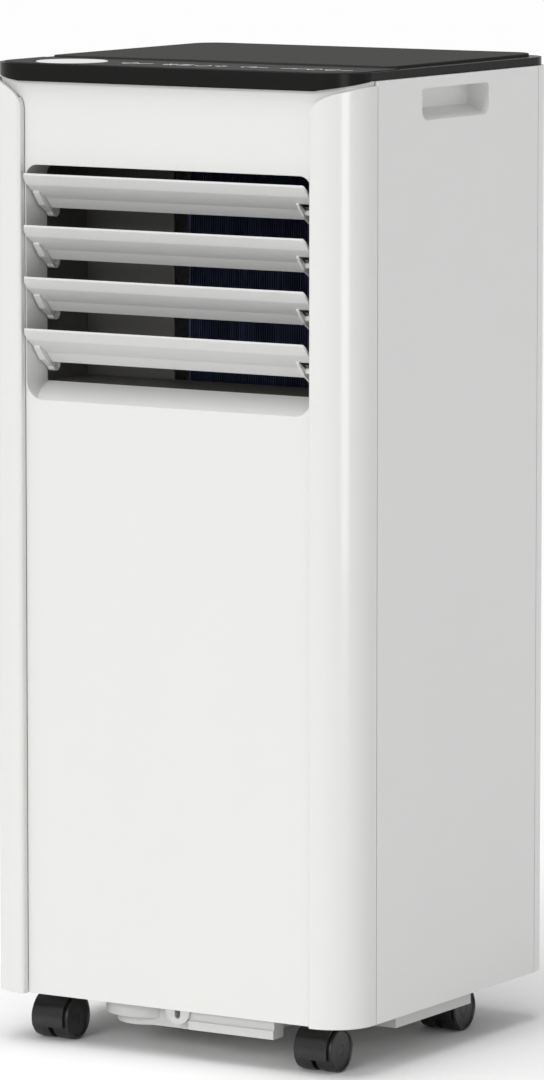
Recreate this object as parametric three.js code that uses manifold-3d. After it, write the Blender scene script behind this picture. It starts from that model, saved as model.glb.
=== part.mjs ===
// Portable air conditioner: a tall white cabinet on four twin-wheel casters, with a louvred outlet high on
// its front, a black top with a touch strip, and a refrigeration circuit with two blowers inside.
// Millimetres, +Z up, the front faces -Y. The origin is on the floor, under the middle of the cabinet.
import * as THREE from "three";
import { mergeVertices } from "three/addons/utils/BufferGeometryUtils.js";
import Module from "manifold-3d";

const wasm = await Module();
wasm.setup();

// --- Driving sizes -----------------------------------------------------------------------------------------
// Cabinet
const CASE_WIDTH = 294; // over the side panels
const FRONT_DEPTH = 136; // origin to the front panel's face
const BACK_DEPTH = 134; // origin to the rear shell's face
const CABINET_CLEARANCE = 5; // tops of the caster wheels to the lower edge of the panels
const CASE_TOP = 668; // floor to the upper edge of the side panels
const WALL = 2.5; // moulded panel thickness
const GAP = 0.3; // between pieces that touch
const REAR_RADIUS = 24; // rounded back corners
const REAR_RETURN = 1; // flat of the rear shell at each side, before its corner

// Front corner pillars
const PILLAR_WIDTH = 33; // side face to inner edge
const PILLAR_PROUD = 6; // ahead of the front panel
const PILLAR_RADIUS = 30; // outer corner
const PILLAR_EDGE_RADIUS = 2.6; // inner edge
const PILLAR_RETURN = 34.6; // front face to the seam with the side panel
const PILLAR_LAP = 4.5; // front panel hidden behind each pillar
const ARCH_RUN = 26; // width of the arched pillar head
const ARCH_RISE = 28; // height of the arched pillar head

// Top cover
const CAP_RISE = 5.5; // side panel edge to the rim's top
const CAP_FRONT_DROP = 6.2; // extra depth of the skirt at the front
const CAP_OVERHANG = 4.5; // front skirt ahead of the front panel
const CAP_INSET = 2; // cap side inside the cabinet's side face
const CAP_WALL = 3;
const POCKET_DEPTH = 1.5; // seat for the top plate and the control strip
const PLATE_INSET = 11.5; // cabinet side to the raised plate
const PLATE_RISE = 2; // plate above the rim
const PLATE_RADIUS = 18;
const PLATE_REAR_INSET = 4.5; // cabinet back to the raised plate
const STRIP_DEPTH = 67; // control strip, front to back
const STRIP_RIM = 3; // rim left in front of the strip
const STRIP_RISE = 0.6;
const LENS_RADIUS = 24.5;
const LENS_EDGE = 54; // cabinet side to the lens's centre
const LENS_SETBACK = 28.5; // strip's front edge to the lens's centre
const LENS_RISE = 0.4; // lens above the strip

// Louvred outlet
const OPENING_DROP = 62.7; // top of the side panels to the opening
const OPENING_INSET = 34; // cabinet side to the opening
const OPENING_TOP_RADIUS = 9;
const OPENING_BOTTOM_RADIUS = 13;
const RECESS_DEPTH = 25.5; // side walls of the opening, front to back
const SILL_RISE = 10.6; // sill's inner edge above its outer edge
const LOUVRE_COUNT = 4;
const LOUVRE_PITCH = 35.1;
const LOUVRE_HEAD = 25.6; // opening's top to the first pivot
const LOUVRE_FOOT = 29; // last pivot to the sill's outer edge
const LOUVRE_SETBACK = 16; // front panel's face to the pivots
const LOUVRE_SIDE_GAP = 1.2;
const LOUVRE_WALL = 1.8;
const LOUVRE_TIP_RADIUS = 5;
const LOUVRE_PROFILE = [[-22.5, 20], [-15.9, 13.1], [-0.9, 3.5], [6, -3.7]]; // y, z from the pivot
const LOUVRE_NOTCH = 12; // inner part of the blade cut back at each end
const LOUVRE_NOTCH_Y = -9; // from the pivot
const PIVOT_RADIUS = 2;
const PIVOT_CLEARANCE = 0.3;
const CLIP_OFFSET = [11, -7]; // link clip from the pivot, y and z
const CLIP_WALL = 1.4;
const BRACKET_WALL = 2;
const LINK_PIN_RADIUS = 1.8;
const LINK_WIDTH = 5;
const LINK_WALL = 2.5;

// Side handles
const HANDLE_FRONT = 49.5; // origin to the front end of the grip
const HANDLE_REAR = 40.2;
const HANDLE_DROP = 8; // side panel's top to the grip
const HANDLE_HEIGHT = 22;
const HANDLE_RADIUS = 8;
const HANDLE_DEPTH = 17;
const HANDLE_FLOOR_RISE = 7.5;
const HANDLE_WALL = 2;

// Base tray and casters
const TRAY_DEPTH = 10; // below the panels' lower edge
const TRAY_INSET = 8; // cabinet side to the tray
const TRAY_FLOOR = 3;
const TRAY_LIP = 6; // wall inside the cabinet
const TRAY_RADIUS = 14;
const WELL_RADIUS = 58; // round well under the compressor
const WELL_DROP = 3;
const DRAIN_LUG_X = 6;
const DRAIN_LUG_RADIUS = 10;
const DRAIN_LUG_HOLE = 4;
const CASTER_INSET = 41; // cabinet side to the kingpin
const CASTER_FRONT_INSET = 36; // front panel's face to the front kingpins
const CASTER_REAR_INSET = 68; // back face to the rear kingpins
const CASTER_TRAIL = 8; // kingpin to axle
const CASTER_WIDTH = 30;
const WHEEL_RADIUS = 15;
const WHEEL_CLEARANCE = 0.8;
const HOOD_WALL = 1.8;
const HOOD_WIDTH = 25;
const HOOD_SKIRT = 9.5; // floor to the hood's lower edge
const WEB_WIDTH = 5;
const AXLE_RADIUS = 2;
const AXLE_CLEARANCE = 0.2;
const KINGPIN_RADIUS = 4;
const KINGPIN_LENGTH = 14;
const KINGPIN_CLEARANCE = 0.3;
const BOSS_CAP = 2; // tray boss above the kingpin's socket
const SWIVEL_CLEARANCE = 2.5;

// Cooling section
const DECK_DROP = 52; // sill's outer edge to the deck
const DECK_WALL = 3;
const DUCT_LENGTH = 50;
const DUCT_WALL = 2;
const EVAPORATOR_LEFT = 33; // left of the origin
const EVAPORATOR_DEPTH = 30;
const COIL_MARGIN = 14; // coil end to the side panel
const COIL_TUBE_RADIUS = 3.5;
const COIL_HAIRPINS = 4;
const BLOWER_DEPTH = 66; // housings, front to back
const BLOWER_WALL = 2;
const BLOWER_SIDE = 28; // wheel to the housing's side
const WHEEL_WIDTH = 46; // blower wheels, front to back
const BLOWER_BLADES = 16;
const BLOWER_BLADE_DEPTH = 12;
const MOTOR_RADIUS = 32;
const MOTOR_LENGTH = 20;
const SHAFT_RADIUS = 3;
const SHAFT_CLEARANCE = 0.15;
const UPPER_BLOWER_SETBACK = 38; // cabinet back to the upper housing
const HOUSING_SIDE_GAP = 0.8; // upper housing to the grip cups
const HOUSING_END_GAP = 4; // upper housing to the deck and the ceiling
const BLOWER_OUTLET_RISE = 42; // upper blower's axis to its outlet
const BLOWER_BLADE_WALL = 1.6;
const BLOWER_BLADE_TILT = 28; // degrees

// Heat rejection section
const LOWER_WHEEL_RADIUS = 58;
const LOWER_BLOWER_RIGHT = 20; // its axis, right of the origin
const CONDENSER_DEPTH = 26;
const CONDENSER_SETBACK = 16;
const CONDENSER_BOTTOM = 14; // above the tray's floor
const COMPRESSOR_RADIUS = 50;
const COMPRESSOR_HEIGHT = 188;
const COMPRESSOR_INSET = 90; // cabinet side to its axis
const COMPRESSOR_SETBACK = 88; // front panel's face to its axis
const ACCUMULATOR_RADIUS = 17;
const ACCUMULATOR_HEIGHT = 110;
const ACCUMULATOR_OFFSET = [-36, -60]; // from the compressor's axis
const PIPE_RADIUS = 4;
const CONTROL_BOX = [72, 46, 110]; // width, depth, height

// Back of the cabinet
const COLLAR_RADIUS = 65;
const COLLAR_WALL = 2.5;
const COLLAR_FLANGE = 7;
const COLLAR_PROUD = 9.8;
const COLLAR_DROP = 68; // deck to the collar's axis
const FILTER_INSET = 46; // cabinet side to the filter door
const FILTER_WALL = 4;
const FILTER_MARGIN = 10; // door to the deck, collar, top and bottom edges
const FILTER_BAR = 8;
const FILTER_SLOT = 7;
const FILTER_SLOT_PITCH = 12.6;
const SCREW_RADIUS = 4;
const GLAND_RADIUS = 8;
const PLUG_RADIUS = 9;

// --- Worked-out places -------------------------------------------------------------------------------------
const half = CASE_WIDTH / 2;
const caseBottom = 2 * WHEEL_RADIUS + CABINET_CLEARANCE;
const panelFace = -FRONT_DEPTH;
const pillarFace = panelFace - PILLAR_PROUD;
const pillarEdge = half - PILLAR_WIDTH;
const cornerX = half - PILLAR_RADIUS;
const cornerY = pillarFace + PILLAR_RADIUS;
const sideSeam = pillarFace + PILLAR_RETURN;
const rearCentre = BACK_DEPTH - REAR_RADIUS;
const rearSeam = rearCentre - REAR_RETURN;
const frontTop = CASE_TOP - CAP_FRONT_DROP;
const capTop = CASE_TOP + CAP_RISE;
const pocketFloor = capTop - POCKET_DEPTH;
const capFront = panelFace - CAP_OVERHANG;
const stripFront = capFront + STRIP_RIM;
const stripBack = stripFront + STRIP_DEPTH;
const openingX = half - OPENING_INSET;
const openingTop = CASE_TOP - OPENING_DROP;
const pivotY = panelFace + LOUVRE_SETBACK;
const pivotZ = (i) => openingTop - LOUVRE_HEAD - i * LOUVRE_PITCH;
const openingBottom = pivotZ(LOUVRE_COUNT - 1) - LOUVRE_FOOT;
const recessBack = panelFace + RECESS_DEPTH;
const bladeEnd = openingX - LOUVRE_SIDE_GAP;
const bracketX = bladeEnd - LOUVRE_NOTCH;
const deckTop = openingBottom - DECK_DROP;
const deckBottom = deckTop - DECK_WALL;
const ceiling = frontTop - 2 * CAP_WALL;
const innerX = half - WALL - 2;
const trayBottom = caseBottom - TRAY_DEPTH;
const trayX = half - TRAY_INSET;
const trayFront = panelFace + TRAY_INSET;
const trayBack = BACK_DEPTH - TRAY_INSET;
const trayDeck = trayBottom + TRAY_DEPTH + 1;
const floorZ = trayDeck + TRAY_FLOOR;
const casterX = half - CASTER_INSET;
const casterFrontY = panelFace + CASTER_FRONT_INSET;
const casterRearY = BACK_DEPTH - CASTER_REAR_INSET;
const hoodRadius = WHEEL_RADIUS + WHEEL_CLEARANCE + HOOD_WALL;
const swivelRadius = Math.hypot(CASTER_TRAIL + hoodRadius, CASTER_WIDTH / 2) + SWIVEL_CLEARANCE;
const ductBack = recessBack + GAP + DUCT_LENGTH;
const evaporatorFront = ductBack + 4;
const upperHousingBack = BACK_DEPTH - UPPER_BLOWER_SETBACK;
const upperAxisZ = (deckTop + ceiling) / 2;
const upperHousingX = half - HANDLE_DEPTH - HANDLE_WALL - HOUSING_SIDE_GAP;
const upperHousingZ = (ceiling - deckTop) / 2 - HOUSING_END_GAP; // from its axis
const upperWheelRadius = Math.min(upperHousingX, upperHousingZ) - BLOWER_SIDE;
const condenserBack = BACK_DEPTH - CONDENSER_SETBACK;
const condenserFront = condenserBack - CONDENSER_DEPTH;
const lowerHousingBack = condenserFront - 4;
const bossTop = trayDeck + KINGPIN_LENGTH + BOSS_CAP;
const lowerAxisZ = bossTop + BOSS_CAP + BLOWER_SIDE + LOWER_WHEEL_RADIUS;
const collarZ = deckBottom - COLLAR_DROP;
const compressorX = -half + COMPRESSOR_INSET;
const compressorY = panelFace + COMPRESSOR_SETBACK;
const accumulatorX = compressorX + ACCUMULATOR_OFFSET[0];
const accumulatorY = compressorY + ACCUMULATOR_OFFSET[1];
const filterX = half - FILTER_INSET;
const upperFilter = [deckTop + FILTER_MARGIN, CASE_TOP - 4 * FILTER_MARGIN];
const lowerFilter = [
  caseBottom + 4 * FILTER_MARGIN, collarZ - COLLAR_RADIUS - COLLAR_FLANGE - FILTER_MARGIN,
];

// --- Finishes ----------------------------------------------------------------------------------------------
const finish = (color, roughness, metalness = 0) =>
  new THREE.MeshStandardMaterial({ color, roughness, metalness });
const FINISH = {
  white: finish(0xe9e9e6, 0.35),
  pillar: finish(0xf4f4f1, 0.2),
  side: finish(0xdcdcda, 0.45),
  black: finish(0x1d1d1c, 0.25),
  plate: finish(0x454542, 0.6),
  strip: finish(0x2f2f2e, 0.2),
  lens: finish(0xf5f5f3, 0.3),
  blade: finish(0xdddddb, 0.5),
  duct: finish(0x303033, 0.7),
  blueFin: finish(0x27304a, 0.5, 0.6),
  fin: finish(0xb4b7ba, 0.45, 0.9),
  copper: finish(0xb8754b, 0.35, 1),
  paint: finish(0x18181a, 0.4, 0.3),
  steel: finish(0xa8abad, 0.35, 1),
  foam: finish(0xf2f2ee, 0.9),
  board: finish(0x1f5a34, 0.5),
  tray: finish(0xc8c8c6, 0.6),
  caster: finish(0x1c1c1d, 0.4),
  mesh: finish(0x8a8d8f, 0.9),
  rubber: finish(0x242424, 0.85),
};

// --- Solid helpers -----------------------------------------------------------------------------------------
/** A closed geometry as a manifold solid. */
function solid(geometry) {
  const bare = geometry.clone();
  bare.deleteAttribute("normal");
  bare.deleteAttribute("uv");
  const merged = mergeVertices(bare, 1e-4);
  return new wasm.Manifold(
    new wasm.Mesh({
      numProp: 3,
      vertProperties: new Float32Array(merged.attributes.position.array),
      triVerts: new Uint32Array(merged.index.array),
    }),
  );
}

/** A named mesh made from a manifold solid. */
function piece(name, body, material) {
  const { numProp, vertProperties, triVerts } = body.getMesh();
  const position = new Float32Array((vertProperties.length / numProp) * 3);
  for (let i = 0; i < position.length / 3; i++) {
    position.set(vertProperties.subarray(i * numProp, i * numProp + 3), i * 3);
  }
  const geometry = new THREE.BufferGeometry();
  geometry.setAttribute("position", new THREE.BufferAttribute(position, 3));
  geometry.setIndex(new THREE.BufferAttribute(new Uint32Array(triVerts), 1));
  geometry.computeVertexNormals();
  const mesh = new THREE.Mesh(geometry, material);
  mesh.name = name;
  return mesh;
}

const joined = (first, ...rest) => rest.reduce((sum, next) => sum.add(next), first);
const cutBy = (first, ...rest) => rest.reduce((sum, next) => sum.subtract(next), first);

/** Points of an elliptic arc, angles in degrees. */
function arc(cx, cy, rx, ry, from, to, steps = 6) {
  return Array.from({ length: steps + 1 }, (_, i) => {
    const a = THREE.MathUtils.degToRad(from + ((to - from) * i) / steps);
    return [cx + rx * Math.cos(a), cy + ry * Math.sin(a)];
  });
}

const circle = (cx, cy, r, steps = 24) => arc(cx, cy, r, r, 0, 360, steps).slice(0, -1);

/** Rounded rectangle: low and high corners, then the radii of its lower and its upper corners. */
function roundedBox(x0, x1, y0, y1, low, high = low, steps = 4) {
  return [
    ...arc(x1 - low, y0 + low, low, low, -90, 0, steps),
    ...arc(x1 - high, y1 - high, high, high, 0, 90, steps),
    ...arc(x0 + high, y1 - high, high, high, 90, 180, steps),
    ...arc(x0 + low, y0 + low, low, low, 180, 270, steps),
  ];
}

function extruded(points, depth) {
  const shape = new THREE.Shape(points.map(([x, y]) => new THREE.Vector2(x, y)));
  return new THREE.ExtrudeGeometry(shape, { depth, bevelEnabled: false, steps: 1 });
}

/** An outline in x and y, raised from z0 to z1. */
const alongZ = (points, z0, z1) => solid(extruded(points, z1 - z0).translate(0, 0, z0));
/** An outline in x and z, carried from y0 to y1. */
const alongY = (points, y0, y1) =>
  solid(extruded(points, y1 - y0).rotateX(Math.PI / 2).translate(0, y1, 0));
const YZ_PLANE = new THREE.Matrix4().makeBasis(
  new THREE.Vector3(0, 1, 0),
  new THREE.Vector3(0, 0, 1),
  new THREE.Vector3(1, 0, 0),
);
/** An outline in y and z, carried from x0 to x1. */
const alongX = (points, x0, x1) =>
  solid(extruded(points, x1 - x0).applyMatrix4(YZ_PLANE).translate(x0, 0, 0));

function box(x0, x1, y0, y1, z0, z1) {
  const geometry = new THREE.BoxGeometry(x1 - x0, y1 - y0, z1 - z0);
  return solid(geometry.translate((x0 + x1) / 2, (y0 + y1) / 2, (z0 + z1) / 2));
}

/** A turned piece about the Z axis: profile points are radius and height. */
function turned(profile, steps = 24) {
  const points = profile.map(([r, z]) => new THREE.Vector2(r, z));
  const outline = THREE.ShapeUtils.area(points) < 0 ? points.reverse() : points;
  const first = outline[0];
  const closes = outline.every((p) => p.x > 0);
  if (closes) outline.push(first.clone());
  return solid(new THREE.LatheGeometry(outline, steps).rotateX(Math.PI / 2));
}

/** The same turned piece laid along Y, its height running towards +Y. */
const turnedY = (profile, steps = 24) =>
  turned(profile, steps).rotate([-90, 0, 0]);

/** A closed outline round a line of points, thickened to the right of its travel, or left if negative. */
function band(points, thickness) {
  const shifted = points.map((p, i) => {
    const before = points[Math.max(i - 1, 0)];
    const after = points[Math.min(i + 1, points.length - 1)];
    const one = normalOf(i > 0 ? before : p, i > 0 ? p : after);
    const two = normalOf(i < points.length - 1 ? p : before, i < points.length - 1 ? after : p);
    const reach = thickness / (1 + one[0] * two[0] + one[1] * two[1]);
    return [p[0] + (one[0] + two[0]) * reach, p[1] + (one[1] + two[1]) * reach];
  });
  return [...points, ...shifted.reverse()];
}

function normalOf(a, b) {
  const length = Math.hypot(b[0] - a[0], b[1] - a[1]);
  return [(b[1] - a[1]) / length, -(b[0] - a[0]) / length];
}

/** A round tube along a smooth line of points. */
function pipe(points, radius, steps, sides = 8) {
  const path = new THREE.CatmullRomCurve3(points.map((p) => new THREE.Vector3(...p)));
  const shape = new THREE.Shape(circle(0, 0, radius, sides).map(([x, y]) => new THREE.Vector2(x, y)));
  return solid(new THREE.ExtrudeGeometry(shape, { extrudePath: path, steps, bevelEnabled: false }));
}

/** Everything above the cap's underside, which rises round each front corner. */
function aboveCapEdge(clearance) {
  const low = frontTop - clearance;
  const high = CASE_TOP - clearance;
  const top = capTop + PLATE_RISE + 10;
  const outline = [
    [capFront - 10, low], [panelFace, low], [cornerY, high], [BACK_DEPTH + 10, high],
    [BACK_DEPTH + 10, top], [capFront - 10, top],
  ];
  return alongX(outline, -half - 10, half + 10);
}

// --- Cabinet -----------------------------------------------------------------------------------------------
const openingOutline = (grow) =>
  roundedBox(
    -openingX - grow, openingX + grow, openingBottom - grow, openingTop + grow,
    OPENING_BOTTOM_RADIUS + grow, OPENING_TOP_RADIUS + grow,
  );

/** Flat front with the outlet's recess, and a top band that wraps round both corners behind the pillars. */
function frontPanel() {
  const plateX = pillarEdge + PILLAR_LAP;
  const plate = box(-plateX, plateX, panelFace, panelFace + WALL, caseBottom, frontTop - GAP);
  const wrapRadius = cornerY - panelFace;
  const wrap = [
    [cornerX + wrapRadius, sideSeam - 1],
    ...arc(cornerX, cornerY, wrapRadius, wrapRadius, 0, -90),
    ...arc(-cornerX, cornerY, wrapRadius, wrapRadius, -90, -180),
    [-cornerX - wrapRadius, sideSeam - 1],
  ];
  const head = alongZ(band(wrap, WALL), frontTop - 2 * ARCH_RISE, frontTop - GAP);
  const recess = alongY(openingOutline(WALL), panelFace + WALL / 2, recessBack)
    .subtract(alongY(openingOutline(0), panelFace - 1, recessBack + 1));
  const sill = alongX(
    [
      [panelFace, openingBottom], [panelFace + WALL, openingBottom - WALL / 2],
      [recessBack, openingBottom - WALL / 2], [recessBack, openingBottom + SILL_RISE],
    ],
    -openingX - WALL / 2, openingX + WALL / 2,
  );
  const cut = alongY(openingOutline(0), panelFace - 1, panelFace + 2 * WALL);
  const panel = joined(cutBy(joined(plate, head), cut), recess, sill);
  const bores = Array.from({ length: LOUVRE_COUNT }, (_, i) =>
    alongX(circle(pivotY, pivotZ(i), PIVOT_RADIUS + PIVOT_CLEARANCE, 8), -openingX - 9, openingX + 9));
  return piece("front_panel", cutBy(panel, ...bores), FINISH.white);
}

/** One rounded corner pillar, arched at its head where the front panel's band shows above it. */
function pillar(name, side) {
  const edge = PILLAR_EDGE_RADIUS;
  const outer = [
    [pillarEdge, panelFace - GAP],
    ...arc(pillarEdge + edge, pillarFace + edge, edge, edge, 180, 270, 3),
    ...arc(cornerX, cornerY, PILLAR_RADIUS, PILLAR_RADIUS, -90, 0, 8),
    [half, sideSeam],
  ];
  const shell = alongZ(band(outer, -WALL), caseBottom, CASE_TOP - GAP);
  const archFoot = frontTop - ARCH_RISE;
  const arch = [
    [pillarEdge - 5, archFoot],
    ...arc(pillarEdge + ARCH_RUN, archFoot, ARCH_RUN, ARCH_RISE, 180, 90),
    [pillarEdge + ARCH_RUN, capTop + 10],
    [pillarEdge - 5, capTop + 10],
  ];
  const head = alongY(arch, pillarFace - 5, panelFace + WALL);
  const body = cutBy(shell, head, aboveCapEdge(GAP));
  return piece(name, side < 0 ? body.mirror([1, 0, 0]) : body, FINISH.pillar);
}

/** A flat side with the grip cup moulded into it. */
function sidePanel(name, side) {
  const sheet = box(half - WALL, half, sideSeam + GAP, rearSeam - GAP, caseBottom, CASE_TOP - GAP);
  const top = CASE_TOP - HANDLE_DROP;
  const bottom = top - HANDLE_HEIGHT;
  const grip = (grow) => roundedBox(
    -HANDLE_FRONT - grow, HANDLE_REAR + grow, bottom - grow, top + grow, HANDLE_RADIUS, HANDLE_RADIUS / 3);
  const inner = half - HANDLE_DEPTH;
  const cup = alongX(grip(HANDLE_WALL), inner - HANDLE_WALL, half - WALL / 2);
  const slope = alongY(
    [
      [half + 1, bottom - 9], [inner - 1, bottom - 9],
      [inner - 1, bottom + HANDLE_FLOOR_RISE], [half + 1, bottom],
    ],
    -HANDLE_FRONT - 1, HANDLE_REAR + 1,
  );
  const hollow = alongX(grip(0), inner, half + 1).subtract(slope);
  const body = joined(sheet, cup).subtract(hollow);
  return piece(name, side < 0 ? body.mirror([1, 0, 0]) : body, FINISH.side);
}

/** Back of the cabinet: rounded corners, two filter windows with seats, and holes for the services. */
function rearShell() {
  const outline = [
    [half, rearSeam],
    ...arc(half - REAR_RADIUS, rearCentre, REAR_RADIUS, REAR_RADIUS, 0, 90),
    ...arc(-half + REAR_RADIUS, rearCentre, REAR_RADIUS, REAR_RADIUS, 90, 180),
    [-half, rearSeam],
  ];
  const shell = alongZ(band(outline, -WALL), caseBottom, CASE_TOP - GAP);
  const y0 = BACK_DEPTH - WALL;
  const seats = [upperFilter, lowerFilter].map(([z0, z1]) =>
    box(-filterX - 5, filterX + 5, y0 - 3, y0 + 1, z0 - 5, z1 + 5));
  const windows = [upperFilter, lowerFilter].flatMap(([z0, z1]) => [
    box(-filterX, filterX, y0 - 0.2, BACK_DEPTH + 1, z0, z1),
    box(-filterX + 4, filterX - 4, y0 - 9, BACK_DEPTH + 1, z0 + 4, z1 - 4),
  ]);
  const holes = [
    alongY(circle(0, collarZ, COLLAR_RADIUS + 1, 28), y0 - 5, BACK_DEPTH + 1),
    ...serviceHoles().map(([x, z, r]) => alongY(circle(x, z, r + GAP, 16), y0 - 5, BACK_DEPTH + 1)),
  ];
  return piece("rear_shell", cutBy(joined(shell, ...seats), ...windows, ...holes), FINISH.white);
}

/** Places and radii of the holes for the cord gland, the drain plugs and the screws: x, z, radius. */
function serviceHoles() {
  return [
    [-half + 32, caseBottom + 20, GLAND_RADIUS],
    [half - 36, collarZ, PLUG_RADIUS - 2],
    [half - 60, caseBottom + 20, PLUG_RADIUS - 2],
    [-half + 34, collarZ + 40, SCREW_RADIUS / 2],
    [half - 34, collarZ + 40, SCREW_RADIUS / 2],
  ];
}

/** Outline of the top cover, its front corners set over the pillars, grown or shrunk all round. */
function capOutline(grow) {
  const front = PILLAR_RADIUS + grow;
  const rear = REAR_RADIUS + grow;
  const frontX = cornerX - CAP_INSET;
  const frontY = capFront + PILLAR_RADIUS;
  const rearX = half - CAP_INSET - REAR_RADIUS;
  return [
    ...arc(-frontX, frontY, front, front, 180, 270, 8),
    ...arc(frontX, frontY, front, front, 270, 360, 8),
    ...arc(rearX, rearCentre, rear, rear, 0, 90),
    ...arc(-rearX, rearCentre, rear, rear, 90, 180),
  ];
}

const plateOutline = (shrink) =>
  roundedBox(
    -half + PLATE_INSET + shrink, half - PLATE_INSET - shrink,
    stripBack + 1 + shrink, BACK_DEPTH - PLATE_REAR_INSET - shrink, 3, PLATE_RADIUS,
  );

/** Outline of the touch strip: straight at the back, its front corners rounded like the cap's. */
function stripOutline(shrink) {
  const radius = PILLAR_RADIUS - STRIP_RIM - shrink;
  const x = cornerX - CAP_INSET;
  const y = stripFront + PILLAR_RADIUS - STRIP_RIM;
  return [
    ...arc(-x, y, radius, radius, 180, 270),
    ...arc(x, y, radius, radius, 270, 360),
    [x + radius, stripBack - shrink],
    [-x - radius, stripBack - shrink],
  ];
}

/** Black rim with a skirt that deepens at the front, and two pockets in its top. */
function topCover() {
  const cap = alongZ(capOutline(0), frontTop, capTop);
  const hollow = alongZ(capOutline(-CAP_WALL), frontTop - 1, pocketFloor - CAP_WALL / 2);
  const under = alongZ(capOutline(5), frontTop - 1, capTop + 1).subtract(aboveCapEdge(0));
  const pockets = [
    alongZ(plateOutline(0), pocketFloor, capTop + 1),
    alongZ(stripOutline(0), pocketFloor, capTop + 1),
  ];
  return piece("top_cover", cutBy(cap, hollow, under, ...pockets), FINISH.black);
}

/** Raised matt plate, with a small triangular notch at its front right corner. */
function topPlate() {
  const body = alongZ(plateOutline(GAP), pocketFloor + GAP, capTop + PLATE_RISE);
  const x = half - PLATE_INSET;
  const notch = [[x - 7, stripBack], [x + 1, stripBack], [x + 1, stripBack + 9]];
  return piece("top_plate", body.subtract(alongZ(notch, pocketFloor, capTop + 5)), FINISH.plate);
}

const lensX = -half + LENS_EDGE;
const lensY = stripFront + LENS_SETBACK;

function controlStrip() {
  const body = alongZ(stripOutline(GAP), pocketFloor + GAP, capTop + STRIP_RISE);
  const hole = alongZ(circle(lensX, lensY, LENS_RADIUS + GAP), pocketFloor, capTop + 5);
  return piece("control_strip", body.subtract(hole), FINISH.strip);
}

function displayLens() {
  const body = alongZ(circle(lensX, lensY, LENS_RADIUS), pocketFloor + GAP, capTop + STRIP_RISE + LENS_RISE);
  return piece("display_lens", body, FINISH.lens);
}

// --- Louvres -----------------------------------------------------------------------------------------------
/** One end bracket of a blade: a web down to the pivot stub, and an open clip for the link's pin. */
function louvreBracket(x0, x1, stubEnd) {
  const [clipY, clipZ] = CLIP_OFFSET;
  const knee = LOUVRE_PROFILE[2];
  const web = alongX(
    [
      [LOUVRE_NOTCH_Y + 1, -LOUVRE_NOTCH_Y - 2], [LOUVRE_NOTCH_Y + 1, 3], [-2.5, -2.5],
      [clipY - 2, clipZ - 2.4],
      [clipY + 1, clipZ + 3.2], [3, 1.5], [knee[0] + 2, knee[1] - 1.5],
    ],
    x0, x1,
  );
  const boss = alongX(circle(0, 0, PIVOT_RADIUS + 1.6, 10), x0, x1);
  const ring = alongX(circle(clipY, clipZ, LINK_PIN_RADIUS + GAP + CLIP_WALL, 10), x0, x1);
  const bore = alongX(circle(clipY, clipZ, LINK_PIN_RADIUS + GAP, 8), x0 - 1, x1 + 1);
  const mouth = alongX(
    [[clipY, clipZ], [clipY + 8, clipZ - 1], [clipY + 5, clipZ - 7]], x0 - 1, x1 + 1);
  const stub = alongX(circle(0, 0, PIVOT_RADIUS, 8), Math.min(x0, stubEnd), Math.max(x1, stubEnd));
  return joined(cutBy(joined(web, boss, ring), bore, mouth), stub);
}

/** A bent blade with rounded tip corners and a bracket at each end. */
function louvre(index) {
  const section = alongX(band(LOUVRE_PROFILE, LOUVRE_WALL), -bladeEnd, bladeEnd);
  const tip = LOUVRE_PROFILE[0][0] - LOUVRE_WALL;
  const plan = alongZ(roundedBox(-bladeEnd, bladeEnd, tip, 20, LOUVRE_TIP_RADIUS, 1), -40, 40);
  const notches = [-1, 1].map((side) => {
    const ends = [side * bracketX, side * (bladeEnd + 1)].sort((a, b) => a - b);
    return box(...ends, LOUVRE_NOTCH_Y, 20, -20, 20);
  });
  const blade = cutBy(section.intersect(plan), ...notches);
  const stubEnd = openingX + WALL - GAP;
  const right = louvreBracket(bracketX - BRACKET_WALL, bracketX, stubEnd);
  const left = louvreBracket(-bracketX, -bracketX + BRACKET_WALL, -stubEnd);
  const mesh = piece(`louvre_${index + 1}`, joined(blade, right, left), FINISH.blade);
  mesh.position.set(0, pivotY, pivotZ(index));
  return mesh;
}

/** Upright link behind the blades' right ends, with a pin in the clip of each blade. */
function louvreLink() {
  const y = pivotY + CLIP_OFFSET[0];
  const pinZ = (i) => pivotZ(i) + CLIP_OFFSET[1];
  const x0 = bracketX + GAP + 1;
  const bar = alongX(
    roundedBox(
      y - LINK_WIDTH / 2, y + LINK_WIDTH / 2,
      pinZ(LOUVRE_COUNT - 1) - LINK_WIDTH / 2, pinZ(0) + LINK_WIDTH / 2, LINK_WIDTH / 2 - 0.1,
    ),
    x0, x0 + LINK_WALL,
  );
  const pins = Array.from({ length: LOUVRE_COUNT }, (_, i) =>
    alongX(circle(y, pinZ(i), LINK_PIN_RADIUS, 8), bracketX - BRACKET_WALL, x0 + 1));
  return piece("louvre_link", joined(bar, ...pins), FINISH.duct);
}

// --- Base and casters --------------------------------------------------------------------------------------
const casterSpots = [
  ["front_left", -casterX, casterFrontY],
  ["front_right", casterX, casterFrontY],
  ["rear_left", -casterX, casterRearY],
  ["rear_right", casterX, casterRearY],
];

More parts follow.
